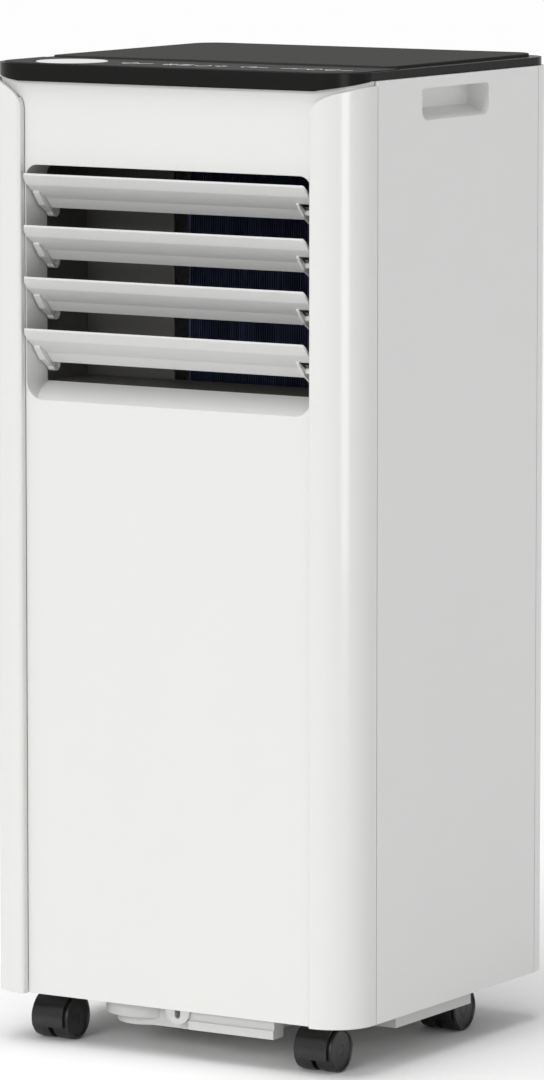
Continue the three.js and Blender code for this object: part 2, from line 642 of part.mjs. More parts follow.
/** Drip tray and chassis: a deck over the casters, a belly between them, a round well and a drain lug. */
function baseTray() {
  const outline = (shrink) => roundedBox(
    -trayX + shrink, trayX - shrink, trayFront + shrink, trayBack - shrink, TRAY_RADIUS - shrink);
  const deck = alongZ(outline(0), trayDeck, floorZ + TRAY_LIP)
    .subtract(alongZ(outline(WALL), floorZ, floorZ + TRAY_LIP + 1));
  const bellyX = casterX - swivelRadius;
  const bellyY = casterFrontY + swivelRadius;
  const bellyBack = casterRearY - swivelRadius;
  const belly = joined(
    box(-bellyX, bellyX, trayFront, trayBack, trayBottom, trayDeck + 1),
    box(-trayX, trayX, bellyY, bellyBack, trayBottom, trayDeck + 1),
  );
  const wellFloor = trayBottom - WELL_DROP;
  const well = alongZ(circle(compressorX, compressorY, WELL_RADIUS, 28), wellFloor, trayDeck + 1);
  const reach = casterSpots.map(([, x, y]) =>
    alongZ(circle(x, y, swivelRadius, 20), wellFloor - 1, trayDeck));
  const lug = alongY(
    [
      [DRAIN_LUG_X + DRAIN_LUG_RADIUS, trayDeck],
      ...arc(DRAIN_LUG_X, trayBottom + DRAIN_LUG_RADIUS / 2, DRAIN_LUG_RADIUS, DRAIN_LUG_RADIUS, 0, -180, 8),
      [DRAIN_LUG_X - DRAIN_LUG_RADIUS, trayDeck],
    ],
    trayFront - 3, trayFront + 6,
  );
  const drain = alongY(
    circle(DRAIN_LUG_X, trayBottom + DRAIN_LUG_RADIUS / 2, DRAIN_LUG_HOLE, 12), trayFront - 5, trayFront + 4);
  const bosses = casterSpots.map(([, x, y]) =>
    alongZ(circle(x, y, KINGPIN_RADIUS + KINGPIN_CLEARANCE + 3, 12), trayDeck, bossTop));
  const sockets = casterSpots.map(([, x, y]) =>
    alongZ(circle(x, y, KINGPIN_RADIUS + KINGPIN_CLEARANCE, 12), trayDeck - 2, trayDeck + KINGPIN_LENGTH));
  const belowDeck = cutBy(joined(belly, well), ...reach);
  const body = joined(deck, belowDeck, lug, ...bosses);
  return piece("base_tray", cutBy(body, drain, ...sockets), FINISH.tray);
}

/** Barrel hood, web and kingpin of one caster, its axle on the X axis at the origin. */
function casterHood() {
  const inner = hoodRadius - HOOD_WALL;
  const barrel = alongX(circle(0, 0, hoodRadius, 20), -HOOD_WIDTH / 2, HOOD_WIDTH / 2)
    .subtract(alongX(circle(0, 0, inner, 20), -HOOD_WIDTH, HOOD_WIDTH));
  const below = box(-40, 40, -40, 40, -40, HOOD_SKIRT - WHEEL_RADIUS);
  const web = alongX(circle(0, 0, inner + HOOD_WALL / 2, 20), -WEB_WIDTH / 2, WEB_WIDTH / 2).subtract(
    box(-40, 40, -40, 40, -40, -AXLE_RADIUS - 2));
  const seat = trayDeck - 1 - WHEEL_RADIUS;
  const neck = box(-WEB_WIDTH / 2, WEB_WIDTH / 2, CASTER_TRAIL - 5, CASTER_TRAIL + 5, 4, seat);
  const collar = alongZ(circle(0, CASTER_TRAIL, KINGPIN_RADIUS + 2, 12), inner + 0.3, seat);
  const pin = alongZ(circle(0, CASTER_TRAIL, KINGPIN_RADIUS, 12), inner + 0.3, seat + KINGPIN_LENGTH);
  const body = joined(barrel.subtract(below), web, neck, collar, pin);
  return body.subtract(alongX(circle(0, 0, AXLE_RADIUS, 8), -40, 40));
}

/** One wheel to the right of the web: a tread, a dished outer face and a bore for the axle. */
function casterWheel() {
  const near = WEB_WIDTH / 2 + WHEEL_CLEARANCE;
  const far = CASTER_WIDTH / 2;
  const profile = [
    [AXLE_RADIUS + AXLE_CLEARANCE, near], [WHEEL_RADIUS, near], [WHEEL_RADIUS, far - 1],
    [WHEEL_RADIUS - 1, far], [WHEEL_RADIUS - 2.4, far], [WHEEL_RADIUS - 3, far - 0.9],
    [AXLE_RADIUS + AXLE_CLEARANCE, far - 0.9],
  ];
  return turned(profile, 20).rotate([0, 90, 0]);
}

/** Steel axle pressed through the web, short of the wheels' outer faces. */
function casterAxle() {
  const end = CASTER_WIDTH / 2 - 1.4;
  return alongX(circle(0, 0, AXLE_RADIUS - 0.02, 8), -end, end);
}

function caster([name, x, y]) {
  const group = new THREE.Group();
  const wheel = casterWheel();
  group.add(piece(`${name}_caster_hood`, casterHood(), FINISH.caster));
  group.add(piece(`${name}_caster_axle`, casterAxle(), FINISH.steel));
  group.add(piece(`${name}_caster_wheel_right`, wheel, FINISH.caster));
  group.add(piece(`${name}_caster_wheel_left`, wheel.mirror([1, 0, 0]), FINISH.caster));
  group.position.set(x, y - CASTER_TRAIL, WHEEL_RADIUS);
  return group;
}

// --- Air path ----------------------------------------------------------------------------------------------
/** Dark rectangular duct from the recess back to the evaporator. */
function outletDuct() {
  const z0 = openingBottom + SILL_RISE - DUCT_WALL;
  const outer = box(
    -openingX - DUCT_WALL, openingX + DUCT_WALL, recessBack + GAP, ductBack, z0, openingTop + DUCT_WALL);
  const inner = box(-openingX, openingX, recessBack, ductBack + 1, z0 + DUCT_WALL, openingTop);
  return piece("outlet_duct", outer.subtract(inner), FINISH.duct);
}

/** Smooth plate that closes the left half of the duct, beside the evaporator. */
function ductBaffle() {
  const body = box(
    -openingX - DUCT_WALL, -EVAPORATOR_LEFT - COIL_TUBE_RADIUS - 6,
    ductBack + GAP, ductBack + GAP + DUCT_WALL,
    openingBottom, openingTop + DUCT_WALL,
  );
  return piece("duct_baffle", body, FINISH.duct);
}

/** A finned block between two end plates, with hairpin bends on its right end. */
function coil(name, x0, x1, y0, y1, z0, z1, material) {
  const block = box(x0, x1, y0 + 1, y1 - 1, z0 + 2, z1 - 2);
  const plates = [x0, x1 - 1.5].map((x) => box(x, x + 1.5, y0, y1, z0, z1));
  const pitch = (z1 - z0) / COIL_HAIRPINS;
  const y = (y0 + y1) / 2;
  const bends = Array.from({ length: COIL_HAIRPINS }, (_, i) => {
    const mid = z0 + pitch * (i + 0.5);
    const reach = Math.min(pitch / 4, 9);
    const path = [
      [x1 - 3, y, mid - reach], [x1 + 2, y, mid - reach], [x1 + 7, y, mid],
      [x1 + 2, y, mid + reach], [x1 - 3, y, mid + reach],
    ];
    return pipe(path, COIL_TUBE_RADIUS, 6, 6);
  });
  return piece(name, joined(block, ...plates, ...bends), material);
}

/** Squirrel-cage wheel about Y: back plate, hub, blades and a front ring. */
function blowerWheel(name, radius, x, y, z) {
  const inner = radius - BLOWER_BLADE_DEPTH;
  const plate = turnedY([
    [SHAFT_RADIUS + SHAFT_CLEARANCE, 0], [radius, 0], [radius, 2], [14, 2], [12, 14],
    [SHAFT_RADIUS + SHAFT_CLEARANCE, 14],
  ], 16);
  const ring = turnedY([[inner + 4, WHEEL_WIDTH - 3], [radius, WHEEL_WIDTH - 3], [radius, WHEEL_WIDTH],
    [inner + 4, WHEEL_WIDTH]], 16);
  const depth = BLOWER_BLADE_DEPTH / 2;
  const wall = BLOWER_BLADE_WALL / 2;
  const blades = Array.from({ length: BLOWER_BLADES }, (_, i) =>
    box(-depth, depth, -wall, wall, 1 - WHEEL_WIDTH, -1)
      .rotate([0, 0, BLOWER_BLADE_TILT])
      .translate([radius - depth - wall, 0, 0])
      .rotate([90, (360 * i) / BLOWER_BLADES, 0]));
  const mesh = piece(name, joined(plate, ring, ...blades), FINISH.duct);
  mesh.position.set(x, y, z);
  return mesh;
}

/** Box-shaped blower housing with a round inlet at the back, a shaft hole in front and one outlet. */
function blowerHousing(name, bounds, axisX, axisZ, inletRadius, outlet) {
  const [x0, x1, y0, y1, z0, z1] = bounds;
  const t = BLOWER_WALL;
  const shell = box(...bounds).subtract(box(x0 + t, x1 - t, y0 + t, y1 - t, z0 + t, z1 - t));
  const inlet = alongY(circle(axisX, axisZ, inletRadius, 24), y1 - t - 1, y1 + 1);
  const shaft = alongY(circle(axisX, axisZ, SHAFT_RADIUS + 4, 12), y0 - 1, y0 + t + 1);
  return piece(name, cutBy(shell, inlet, shaft, outlet), FINISH.foam);
}

/** Round fan motor in front of a housing, its shaft running back into the wheel. */
function fanMotor(name, x, housingFront, z) {
  const back = -GAP;
  const profile = [
    [0, back - MOTOR_LENGTH], [12, back - MOTOR_LENGTH], [MOTOR_RADIUS - 4, back - MOTOR_LENGTH + 2],
    [MOTOR_RADIUS, back - MOTOR_LENGTH + 6], [MOTOR_RADIUS, back - 3], [MOTOR_RADIUS - 3, back],
    [SHAFT_RADIUS, back], [SHAFT_RADIUS, BLOWER_WALL + 16], [0, BLOWER_WALL + 16],
  ];
  const mesh = piece(name, turnedY(profile, 20), FINISH.steel);
  mesh.position.set(x, housingFront, z);
  return mesh;
}

function coolingSection() {
  const group = new THREE.Group();
  const outline = roundedBox(
    -innerX, innerX, panelFace + WALL + 1, BACK_DEPTH - WALL - 4, PILLAR_RADIUS, REAR_RADIUS, 3);
  const deck = alongZ(outline, deckBottom, deckTop);
  const hole = circle(accumulatorX, accumulatorY, PIPE_RADIUS + 2, 12);
  group.add(piece("deck", deck.subtract(alongZ(hole, deckBottom - 1, deckTop + 1)), FINISH.foam));
  group.add(outletDuct());
  group.add(ductBaffle());
  group.add(coil(
    "evaporator_coil", -EVAPORATOR_LEFT, half - COIL_MARGIN - 14, evaporatorFront,
    evaporatorFront + EVAPORATOR_DEPTH, deckTop + 6, ceiling - 4, FINISH.blueFin,
  ));
  const back = upperHousingBack;
  const front = back - BLOWER_DEPTH;
  const x = upperHousingX;
  const outlet = box(
    0, x - 8, front - 1, front + BLOWER_WALL + 1,
    upperAxisZ + BLOWER_OUTLET_RISE, upperAxisZ + upperHousingZ - 8,
  );
  group.add(blowerHousing(
    "upper_blower_housing", [-x, x, front, back, upperAxisZ - upperHousingZ, upperAxisZ + upperHousingZ],
    0, upperAxisZ, upperWheelRadius - BLOWER_BLADE_DEPTH, outlet,
  ));
  group.add(blowerWheel("upper_blower_wheel", upperWheelRadius, 0, front + BLOWER_WALL + 4, upperAxisZ));
  group.add(fanMotor("upper_fan_motor", 0, front, upperAxisZ));
  return group;
}

function heatSection() {
  const group = new THREE.Group();
  group.add(coil(
    "condenser_coil", -half + COIL_MARGIN, half - COIL_MARGIN - 10, condenserFront, condenserBack,
    floorZ + CONDENSER_BOTTOM, collarZ - COLLAR_RADIUS - 4, FINISH.fin,
  ));
  const back = lowerHousingBack;
  const front = back - BLOWER_DEPTH;
  const side = LOWER_WHEEL_RADIUS + BLOWER_SIDE;
  const x = LOWER_BLOWER_RIGHT;
  const top = deckBottom - 3;
  const bore = circle(0, collarZ, COLLAR_RADIUS - COLLAR_WALL, 28);
  const outlet = alongY(bore, back - BLOWER_WALL - 1, back + 1);
  group.add(blowerHousing(
    "lower_blower_housing", [x - side, x + side, front, back, lowerAxisZ - side, top],
    x, lowerAxisZ, LOWER_WHEEL_RADIUS - BLOWER_BLADE_DEPTH, outlet,
  ));
  group.add(blowerWheel("lower_blower_wheel", LOWER_WHEEL_RADIUS, x, front + BLOWER_WALL + 4, lowerAxisZ));
  group.add(fanMotor("lower_fan_motor", x, front, lowerAxisZ));
  const collar = piece("exhaust_collar", exhaustCollar(back + GAP), FINISH.white);
  collar.position.set(0, 0, collarZ);
  group.add(collar);
  return group;
}

/** Round spigot for the exhaust hose, with a flange outside the rear shell and three bayonet ribs. */
function exhaustCollar(start) {
  const end = BACK_DEPTH + COLLAR_PROUD;
  const inner = COLLAR_RADIUS - COLLAR_WALL;
  const tube = turnedY([
    [inner, start], [COLLAR_RADIUS, start], [COLLAR_RADIUS, BACK_DEPTH + GAP],
    [COLLAR_RADIUS + COLLAR_FLANGE, BACK_DEPTH + GAP], [COLLAR_RADIUS + COLLAR_FLANGE, BACK_DEPTH + 3],
    [COLLAR_RADIUS, BACK_DEPTH + 3], [COLLAR_RADIUS, end], [inner, end],
  ], 28);
  const ribs = [0, 120, 240].map((turn) =>
    box(-6, 6, end - 3, end, -COLLAR_RADIUS - 2, -inner - 1).rotate([0, turn, 0]));
  return joined(tube, ...ribs);
}

// --- Refrigerant circuit -----------------------------------------------------------------------------------
function compressor() {
  const r = COMPRESSOR_RADIUS;
  const z = floorZ + 6;
  const shell = turned([
    [0, z], [r - 14, z], [r - 4, z + 8], [r, z + 16], [r, z + COMPRESSOR_HEIGHT - 30],
    [r - 5, z + COMPRESSOR_HEIGHT - 14], [r - 20, z + COMPRESSOR_HEIGHT - 4], [0, z + COMPRESSOR_HEIGHT],
  ], 20);
  const feet = [30, 150, 270].map((turn) =>
    box(0, r + 5, -10, 10, floorZ + GAP, z + 5).rotate([0, 0, turn]));
  const terminal = alongZ(circle(16, 0, 9, 12), z + COMPRESSOR_HEIGHT - 20, z + COMPRESSOR_HEIGHT + 4);
  const body = joined(shell, ...feet, terminal).translate([compressorX, compressorY, 0]);
  return piece("compressor", body, FINISH.paint);
}

function accumulator() {
  const r = ACCUMULATOR_RADIUS;
  const h = ACCUMULATOR_HEIGHT;
  const profile = [[0, 0], [r - 8, 2], [r, 12], [r, h - 12], [r - 8, h - 2], [0, h]];
  const mesh = piece("accumulator", turned(profile, 16), FINISH.paint);
  mesh.position.set(accumulatorX, accumulatorY, floorZ + 60);
  return mesh;
}

/** Suction line: from the evaporator down through the deck to the accumulator's top. */
function suctionPipe() {
  const foot = floorZ + 60 + ACCUMULATOR_HEIGHT + GAP;
  const path = [
    [accumulatorX, accumulatorY, foot], [accumulatorX, accumulatorY, (foot + deckBottom) / 2],
    [accumulatorX, accumulatorY, deckTop + 2], [accumulatorX + 6, accumulatorY + 6, deckTop + 14],
    [accumulatorX + 24, accumulatorY + 30, deckTop + 18],
  ];
  return piece("suction_pipe", pipe(path, PIPE_RADIUS, 14, 6), FINISH.copper);
}

/** Discharge line: from the compressor's crown back towards the condenser. */
function dischargePipe() {
  const z = floorZ + 6 + COMPRESSOR_HEIGHT + GAP;
  const side = LOWER_BLOWER_RIGHT - LOWER_WHEEL_RADIUS - BLOWER_SIDE - PIPE_RADIUS - 4;
  const path = [
    [compressorX - 6, compressorY, z], [compressorX - 8, compressorY, z + 14],
    [Math.min(compressorX - 20, side), compressorY + 30, z + 22],
    [Math.min(compressorX - 26, side), condenserFront - 20, z + 12],
    [Math.min(compressorX - 26, side), condenserFront - 8, z - 20],
  ];
  return piece("discharge_pipe", pipe(path, PIPE_RADIUS, 14, 6), FINISH.copper);
}

// --- Electrics ---------------------------------------------------------------------------------------------
function controlBox() {
  const [w, d, h] = CONTROL_BOX;
  const x1 = innerX - 8;
  const y0 = panelFace + WALL + 6;
  const z1 = deckBottom - 8;
  const shell = box(x1 - w, x1, y0, y0 + d, z1 - h, z1);
  const hollow = box(x1 - w + 2, x1 - 2, y0 + 2, y0 + d + 1, z1 - h + 2, z1 - 2);
  const blocks = [0, 1, 2].map((i) =>
    box(x1 - w + 1, x1 - 12 - 14 * i, y0 + 1, y0 + 14 + 8 * i, z1 - 30 - 30 * i, z1 - 14 - 30 * i));
  return piece("control_box", joined(shell.subtract(hollow), ...blocks), FINISH.paint);
}

/** Circuit board with its keys and display, hung under the control strip. */
function displayBoard() {
  const y0 = panelFace + WALL + 8;
  const y1 = stripBack - 6;
  const z = ceiling + 1;
  const board = box(-openingX + 6, openingX - 6, y0, y1, z, z + 1.6);
  const keys = [-40, 0, 40, 80].map((x) => box(x, x + 8, y0 + 8, y0 + 16, z + 1, z + 5));
  return piece("display_board", joined(board, ...keys), FINISH.board);
}

// --- Back fittings -----------------------------------------------------------------------------------------
/** Removable grille door with rows of slots on both sides of a middle bar and a finger tab at its top. */
function filterDoor(name, [z0, z1]) {
  const y0 = BACK_DEPTH - WALL + GAP;
  const door = box(-filterX + GAP, filterX - GAP, y0, y0 + FILTER_WALL, z0 + GAP, z1 - GAP);
  const rows = Math.floor((z1 - z0 - 3 * FILTER_BAR) / FILTER_SLOT_PITCH);
  const first = (z0 + z1 - (rows - 1) * FILTER_SLOT_PITCH - FILTER_SLOT) / 2;
  const slots = Array.from({ length: rows }, (_, i) => first + i * FILTER_SLOT_PITCH).flatMap((z) => [
    box(-filterX + FILTER_BAR, -FILTER_BAR / 2, y0 - 1, y0 + FILTER_WALL + 1, z, z + FILTER_SLOT),
    box(FILTER_BAR / 2, filterX - FILTER_BAR, y0 - 1, y0 + FILTER_WALL + 1, z, z + FILTER_SLOT),
  ]);
  const tab = box(-14, 14, y0 + 1, y0 + FILTER_WALL + 3, z1 - 7, z1 - 3);
  return piece(name, joined(cutBy(door, ...slots), tab), FINISH.white);
}

function filterMesh(name, [z0, z1]) {
  const y1 = BACK_DEPTH - WALL;
  const body = box(-filterX + 5, filterX - 5, y1 - 1.6, y1, z0 + 5, z1 - 5);
  return piece(name, body, FINISH.mesh);
}

/** Strain-relief gland in the rear shell, open through its middle. */
function cordGland([x, z]) {
  const y = BACK_DEPTH;
  const body = turnedY([
    [3.5, y - WALL - 6], [GLAND_RADIUS, y - WALL - 6], [GLAND_RADIUS, y + GAP], [GLAND_RADIUS + 3, y + GAP],
    [GLAND_RADIUS + 2, y + 4], [3.5, y + 4],
  ], 12);
  const mesh = piece("cord_gland", body, FINISH.rubber);
  mesh.position.set(x, 0, z);
  return mesh;
}

/** Rubber bung in a drain outlet, with a ribbed head to pull it by. */
function drainPlug(name, [x, z]) {
  const y = BACK_DEPTH;
  const body = turnedY([
    [0, y - 9], [PLUG_RADIUS - 3, y - 9], [PLUG_RADIUS - 2.4, y - 4], [PLUG_RADIUS - 2.4, y + GAP],
    [PLUG_RADIUS, y + GAP], [PLUG_RADIUS, y + 4], [PLUG_RADIUS - 3, y + 4], [PLUG_RADIUS - 4, y + 7],
    [0, y + 7],
  ], 12);
  const mesh = piece(name, body, FINISH.rubber);
  mesh.position.set(x, 0, z);
  return mesh;
}

function rearScrew(name, [x, z]) {
  const y = BACK_DEPTH;
  const head = turnedY([
    [0, y - 10], [SCREW_RADIUS / 2 - GAP, y - 10], [SCREW_RADIUS / 2 - GAP, y + GAP], [SCREW_RADIUS, y + GAP],
    [SCREW_RADIUS - 0.6, y + 2.2], [0, y + 2.4],
  ], 12);
  const cross = [0, 90].map((turn) => box(-2.2, 2.2, y + 1.2, y + 4, -0.5, 0.5).rotate([0, turn, 0]));
  const mesh = piece(name, cutBy(head, ...cross), FINISH.steel);
  mesh.position.set(x, 0, z);
  return mesh;
}

function backFittings() {
  const group = new THREE.Group();
  const [gland, upperDrain, lowerDrain, leftScrew, rightScrew] = serviceHoles();
  group.add(filterDoor("upper_filter_door", upperFilter));
  group.add(filterMesh("upper_filter_mesh", upperFilter));
  group.add(filterDoor("lower_filter_door", lowerFilter));
  group.add(filterMesh("lower_filter_mesh", lowerFilter));
  group.add(cordGland(gland));
  group.add(drainPlug("upper_drain_plug", upperDrain));
  group.add(drainPlug("lower_drain_plug", lowerDrain));
  group.add(rearScrew("rear_screw_left", leftScrew));
  group.add(rearScrew("rear_screw_right", rightScrew));
  return group;
}

// --- Assembly ----------------------------------------------------------------------------------------------
const unit = new THREE.Group();
unit.add(frontPanel());
unit.add(pillar("left_pillar", -1));
unit.add(pillar("right_pillar", 1));
unit.add(sidePanel("left_side_panel", -1));
unit.add(sidePanel("right_side_panel", 1));
unit.add(rearShell());
unit.add(topCover());
unit.add(topPlate());
unit.add(controlStrip());
unit.add(displayLens());
for (let i = 0; i < LOUVRE_COUNT; i++) unit.add(louvre(i));
unit.add(louvreLink());
unit.add(baseTray());
for (const spot of casterSpots) unit.add(caster(spot));
unit.add(coolingSection());
unit.add(heatSection());
unit.add(compressor());
unit.add(accumulator());
unit.add(suctionPipe());
unit.add(dischargePipe());
unit.add(controlBox());
unit.add(displayBoard());
unit.add(backFittings());

export default unit;
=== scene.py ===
"""Portable air conditioner: the visible model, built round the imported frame.

Sizes are millimetres in the fields and arguments, and metres in the meshes. +Z is up and the front faces -Y.
"""

import logging
import math
from dataclasses import dataclass
from enum import Enum
from typing import Sequence, Union

import bpy
from mathutils import Matrix, Vector


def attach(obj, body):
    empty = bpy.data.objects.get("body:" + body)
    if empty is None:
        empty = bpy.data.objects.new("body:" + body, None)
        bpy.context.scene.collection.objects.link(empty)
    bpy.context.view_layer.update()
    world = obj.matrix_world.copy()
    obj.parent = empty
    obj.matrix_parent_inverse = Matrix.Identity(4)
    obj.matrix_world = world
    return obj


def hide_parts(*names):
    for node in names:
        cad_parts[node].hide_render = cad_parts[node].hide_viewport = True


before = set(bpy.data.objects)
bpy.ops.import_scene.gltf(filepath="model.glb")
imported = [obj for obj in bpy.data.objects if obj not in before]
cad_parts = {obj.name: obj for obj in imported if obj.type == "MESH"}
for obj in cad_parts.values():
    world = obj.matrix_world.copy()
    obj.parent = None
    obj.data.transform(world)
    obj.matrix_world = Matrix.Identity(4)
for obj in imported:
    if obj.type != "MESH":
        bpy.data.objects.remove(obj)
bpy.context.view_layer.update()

MM = 0.001
WELD = 0.002  # vertices closer than this are one
SOFT_ANGLE = 35  # degrees between faces that shade as one surface
EDGE_ANGLE = 30  # degrees between faces whose edge is eased
PAST = 1  # how far a cutter runs past the face that it cuts
WAVES_PER_UNIT = 3.183  # ridges in one unit of an unscaled wave pattern

Point = tuple[float, float]
Triple = tuple[float, float, float]
Number = Union[int, float]
Term = Union["Value", int, float]

log = logging.getLogger("air_conditioner")


# --- Outlines ---
class Axis(Enum):
    """Direction in which an outline is carried, with the two directions that it is drawn in."""

    X = (1, 2, 0)
    Y = (0, 2, 1)
    Z = (0, 1, 2)

    def place(self, u: float, v: float, along: float) -> Vector:
        """Point in metres from two outline coordinates and a distance along the axis."""
        return Vector([value * MM for _, value in sorted(zip(self.value, (u, v, along)))])

    @property
    def unit(self) -> Vector:
        """Unit vector along the axis."""
        return self.place(0, 0, 1) / MM


def arc(cx: float, cy: float, rx: float, ry: float, start: float, end: float, steps: int = 14) -> list[Point]:
    """Points of an elliptic arc about a centre, between two angles in degrees, with both ends."""
    angles = [math.radians(start + (end - start) * i / steps) for i in range(steps + 1)]
    return [(cx + rx * math.cos(a), cy + ry * math.sin(a)) for a in angles]


def circle(cx: float, cy: float, radius: float, steps: int = 48) -> list[Point]:
    """Points of a full circle, the first not repeated."""
    return arc(cx, cy, radius, radius, 0, 360, steps)[:-1]


def rounded(x0: float, x1: float, y0: float, y1: float, low: float, high: float) -> list[Point]:
    """Anticlockwise rectangle, with one radius at its two lower corners and another at its upper ones."""
    return [
        *arc(x1 - low, y0 + low, low, low, -90, 0),
        *arc(x1 - high, y1 - high, high, high, 0, 90),
        *arc(x0 + high, y1 - high, high, high, 90, 180),
        *arc(x0 + low, y0 + low, low, low, 180, 270),
    ]


def band(line: Sequence[Point], thickness: float) -> list[Point]:
    """Closed outline of a wall along a line, on the right of its travel, or on the left if negative.

    Args:
        line: points of one face of the wall.
        thickness: wall thickness, signed.

    Returns:
        The outline, out along the line and back along the other face.
    """

    def normal(a: Point, b: Point) -> Point:
        """Unit normal on the right of the way from a to b."""
        length = math.dist(a, b)
        return (b[1] - a[1]) / length, -(b[0] - a[0]) / length

    other = []
    for i, p in enumerate(line):
        one = normal(line[i - 1], p) if i else normal(p, line[1])
        two = normal(p, line[i + 1]) if i < len(line) - 1 else one
        reach = thickness / (1 + one[0] * two[0] + one[1] * two[1])
        other.append((p[0] + (one[0] + two[0]) * reach, p[1] + (one[1] + two[1]) * reach))
    return [*line, *reversed(other)]


# --- Modelling ---
class Blank:
    """One mesh on the bench, shaped with modelling operators until it is placed."""

    def __init__(self, obj: bpy.types.Object, name: str) -> None:
        """Takes an object onto the bench under a piece name."""
        obj.name = name
        obj.data.name = name
        self.obj = obj

    @staticmethod
    def clear() -> None:
        """Deselects everything."""
        bpy.ops.object.select_all(action="DESELECT")

    def pick(self) -> None:
        """Selects this mesh alone."""
        Blank.clear()
        self.obj.select_set(True)
        bpy.context.view_layer.objects.active = self.obj

    def edit(self, *moves: tuple[str, dict[str, object]]) -> "Blank":
        """Runs mesh operators in edit mode on the whole mesh.

        Args:
            moves: operator name and its settings, in order.

        Returns:
            This blank.
        """
        self.pick()
        bpy.ops.object.mode_set(mode="EDIT")
        for operator, settings in moves:
            bpy.ops.mesh.select_all(action="SELECT")
            getattr(bpy.ops.mesh, operator)(**settings)
        bpy.ops.object.mode_set(mode="OBJECT")
        return self

    @classmethod
    def box(cls, name: str, x: Point, y: Point, z: Point) -> "Blank":
        """Block between two planes in each direction.

        Args:
            name: piece name.
            x: lower and upper x.
            y: lower and upper y.
            z: lower and upper z.

        Returns:
            The block.
        """
        cls.clear()
        middle = [(a + b) / 2 * MM for a, b in (x, y, z)]
        sides = [(b - a) * MM for a, b in (x, y, z)]
        bpy.ops.mesh.primitive_cube_add(size=1, location=middle, scale=sides)
        bpy.ops.object.transform_apply(location=True, rotation=True, scale=True)
        return cls(bpy.context.object, name)

    @classmethod
    def slab(cls, name: str, axis: Axis, outline: Sequence[Point], low: float, high: float) -> "Blank":
        """Outline carried along an axis.

        Args:
            name: piece name.
            axis: direction of travel.
            outline: closed outline in the axis's two other directions.
            low: start along the axis.
            high: end along the axis.

        Returns:
            The closed solid.
        """
        cls.clear()
        outline = [p for i, p in enumerate(outline) if math.dist(p, outline[i - 1]) > WELD]
        bpy.ops.mesh.primitive_circle_add(vertices=len(outline), radius=MM, fill_type="NGON")
        blank = cls(bpy.context.object, name)
        for vertex, (u, v) in zip(blank.obj.data.vertices, outline):
            vertex.co = axis.place(u, v, low)
        travel = {"value": axis.unit * ((high - low) * MM)}
        return blank.edit(
            ("extrude_region_move", {"TRANSFORM_OT_translate": travel}),
            ("normals_make_consistent", {"inside": False}),
        )

    @classmethod
    def turned(cls, name: str, axis: Axis, profile: Sequence[Point], centre: Triple, steps: int) -> "Blank":
        """Profile spun round an axis.

        Args:
            name: piece name.
            axis: axis of the lathe.
            profile: closed profile, as radius and distance along the axis.
            centre: a point on the axis.
            steps: number of faces round it.

        Returns:
            The closed solid.
        """
        cls.clear()
        bpy.ops.mesh.primitive_circle_add(vertices=len(profile), radius=MM, fill_type="NOTHING")
        blank = cls(bpy.context.object, name)
        middle = Vector(centre) * MM
        for vertex, (radius, along) in zip(blank.obj.data.vertices, profile):
            vertex.co = middle + axis.place(radius, 0, along)
        spin = {"steps": steps, "angle": 2 * math.pi, "center": middle, "axis": axis.unit}
        return blank.edit(
            ("spin", spin),
            ("remove_doubles", {"threshold": WELD * MM}),
            ("dissolve_degenerate", {"threshold": WELD * MM}),
            ("delete_loose", {}),
            ("normals_make_consistent", {"inside": False}),
        )

    @classmethod
    def of_mesh(cls, name: str, mesh: bpy.types.Mesh) -> "Blank":
        """Bare copy of a mesh.

        Args:
            name: piece name.
            mesh: mesh to copy.

        Returns:
            The copy.
        """
        obj = bpy.data.objects.new(name, mesh.copy())
        obj.data.materials.clear()
        bpy.context.scene.collection.objects.link(obj)
        return cls(obj, name)

    @classmethod
    def of_node(cls, name: str, node: str) -> "Blank":
        """Welded copy of a frame node, its flat faces joined up, as a start for a finished piece."""
        weld = ("remove_doubles", {"threshold": WELD * MM})
        join = ("dissolve_limited", {"angle_limit": math.radians(1)})
        return cls.of_mesh(name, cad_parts[node].data).edit(weld, join)

    def modify(self, kind: str, **settings: object) -> "Blank":
        """Adds a modifier and applies it.

        Args:
            kind: modifier type.
            settings: its properties.

        Returns:
            This blank.
        """
        self.pick()
        modifier = self.obj.modifiers.new(kind.title(), kind)
        for key, value in settings.items():
            setattr(modifier, key, value)
        bpy.ops.object.modifier_apply(modifier=modifier.name)
        return self

    def _boolean(self, others: Sequence["Blank"], operation: str) -> "Blank":
        """Combines others into this mesh by one boolean operation, and removes them."""
        for other in others:
            self.modify("BOOLEAN", operation=operation, solver="EXACT", object=other.obj)
            bpy.data.objects.remove(other.obj)
        return self

    def cut(self, *others: "Blank") -> "Blank":
        """Takes others away from this mesh."""
        return self._boolean(others, "DIFFERENCE")

    def fuse(self, *others: "Blank") -> "Blank":
        """Adds others to this mesh as one skin."""
        return self._boolean(others, "UNION")

    def keep(self, *others: "Blank") -> "Blank":
        """Keeps only what lies inside the others."""
        return self._boolean(others, "INTERSECT")

    def add(self, *others: "Blank") -> "Blank":
        """Gathers separate shells into one piece."""
        self.pick()
        for other in others:
            other.obj.select_set(True)
        bpy.ops.object.join()
        return self

    def ease(self, width: float, segments: int = 2) -> "Blank":
        """Rounds the edges that are sharper than the edge angle."""
        limit = {"limit_method": "ANGLE", "angle_limit": math.radians(EDGE_ANGLE)}
        return self.modify("BEVEL", width=width * MM, segments=segments, **limit)

    def carry(self, matrix: Matrix) -> "Blank":
        """Transforms the mesh."""
        self.obj.data.transform(matrix)
        return self

    def copy(self, name: str, move: Triple = (0, 0, 0)) -> "Blank":
        """Copy with a mesh of its own, moved."""
        return Blank.of_mesh(name, self.obj.data).carry(Matrix.Translation(Vector(move) * MM))

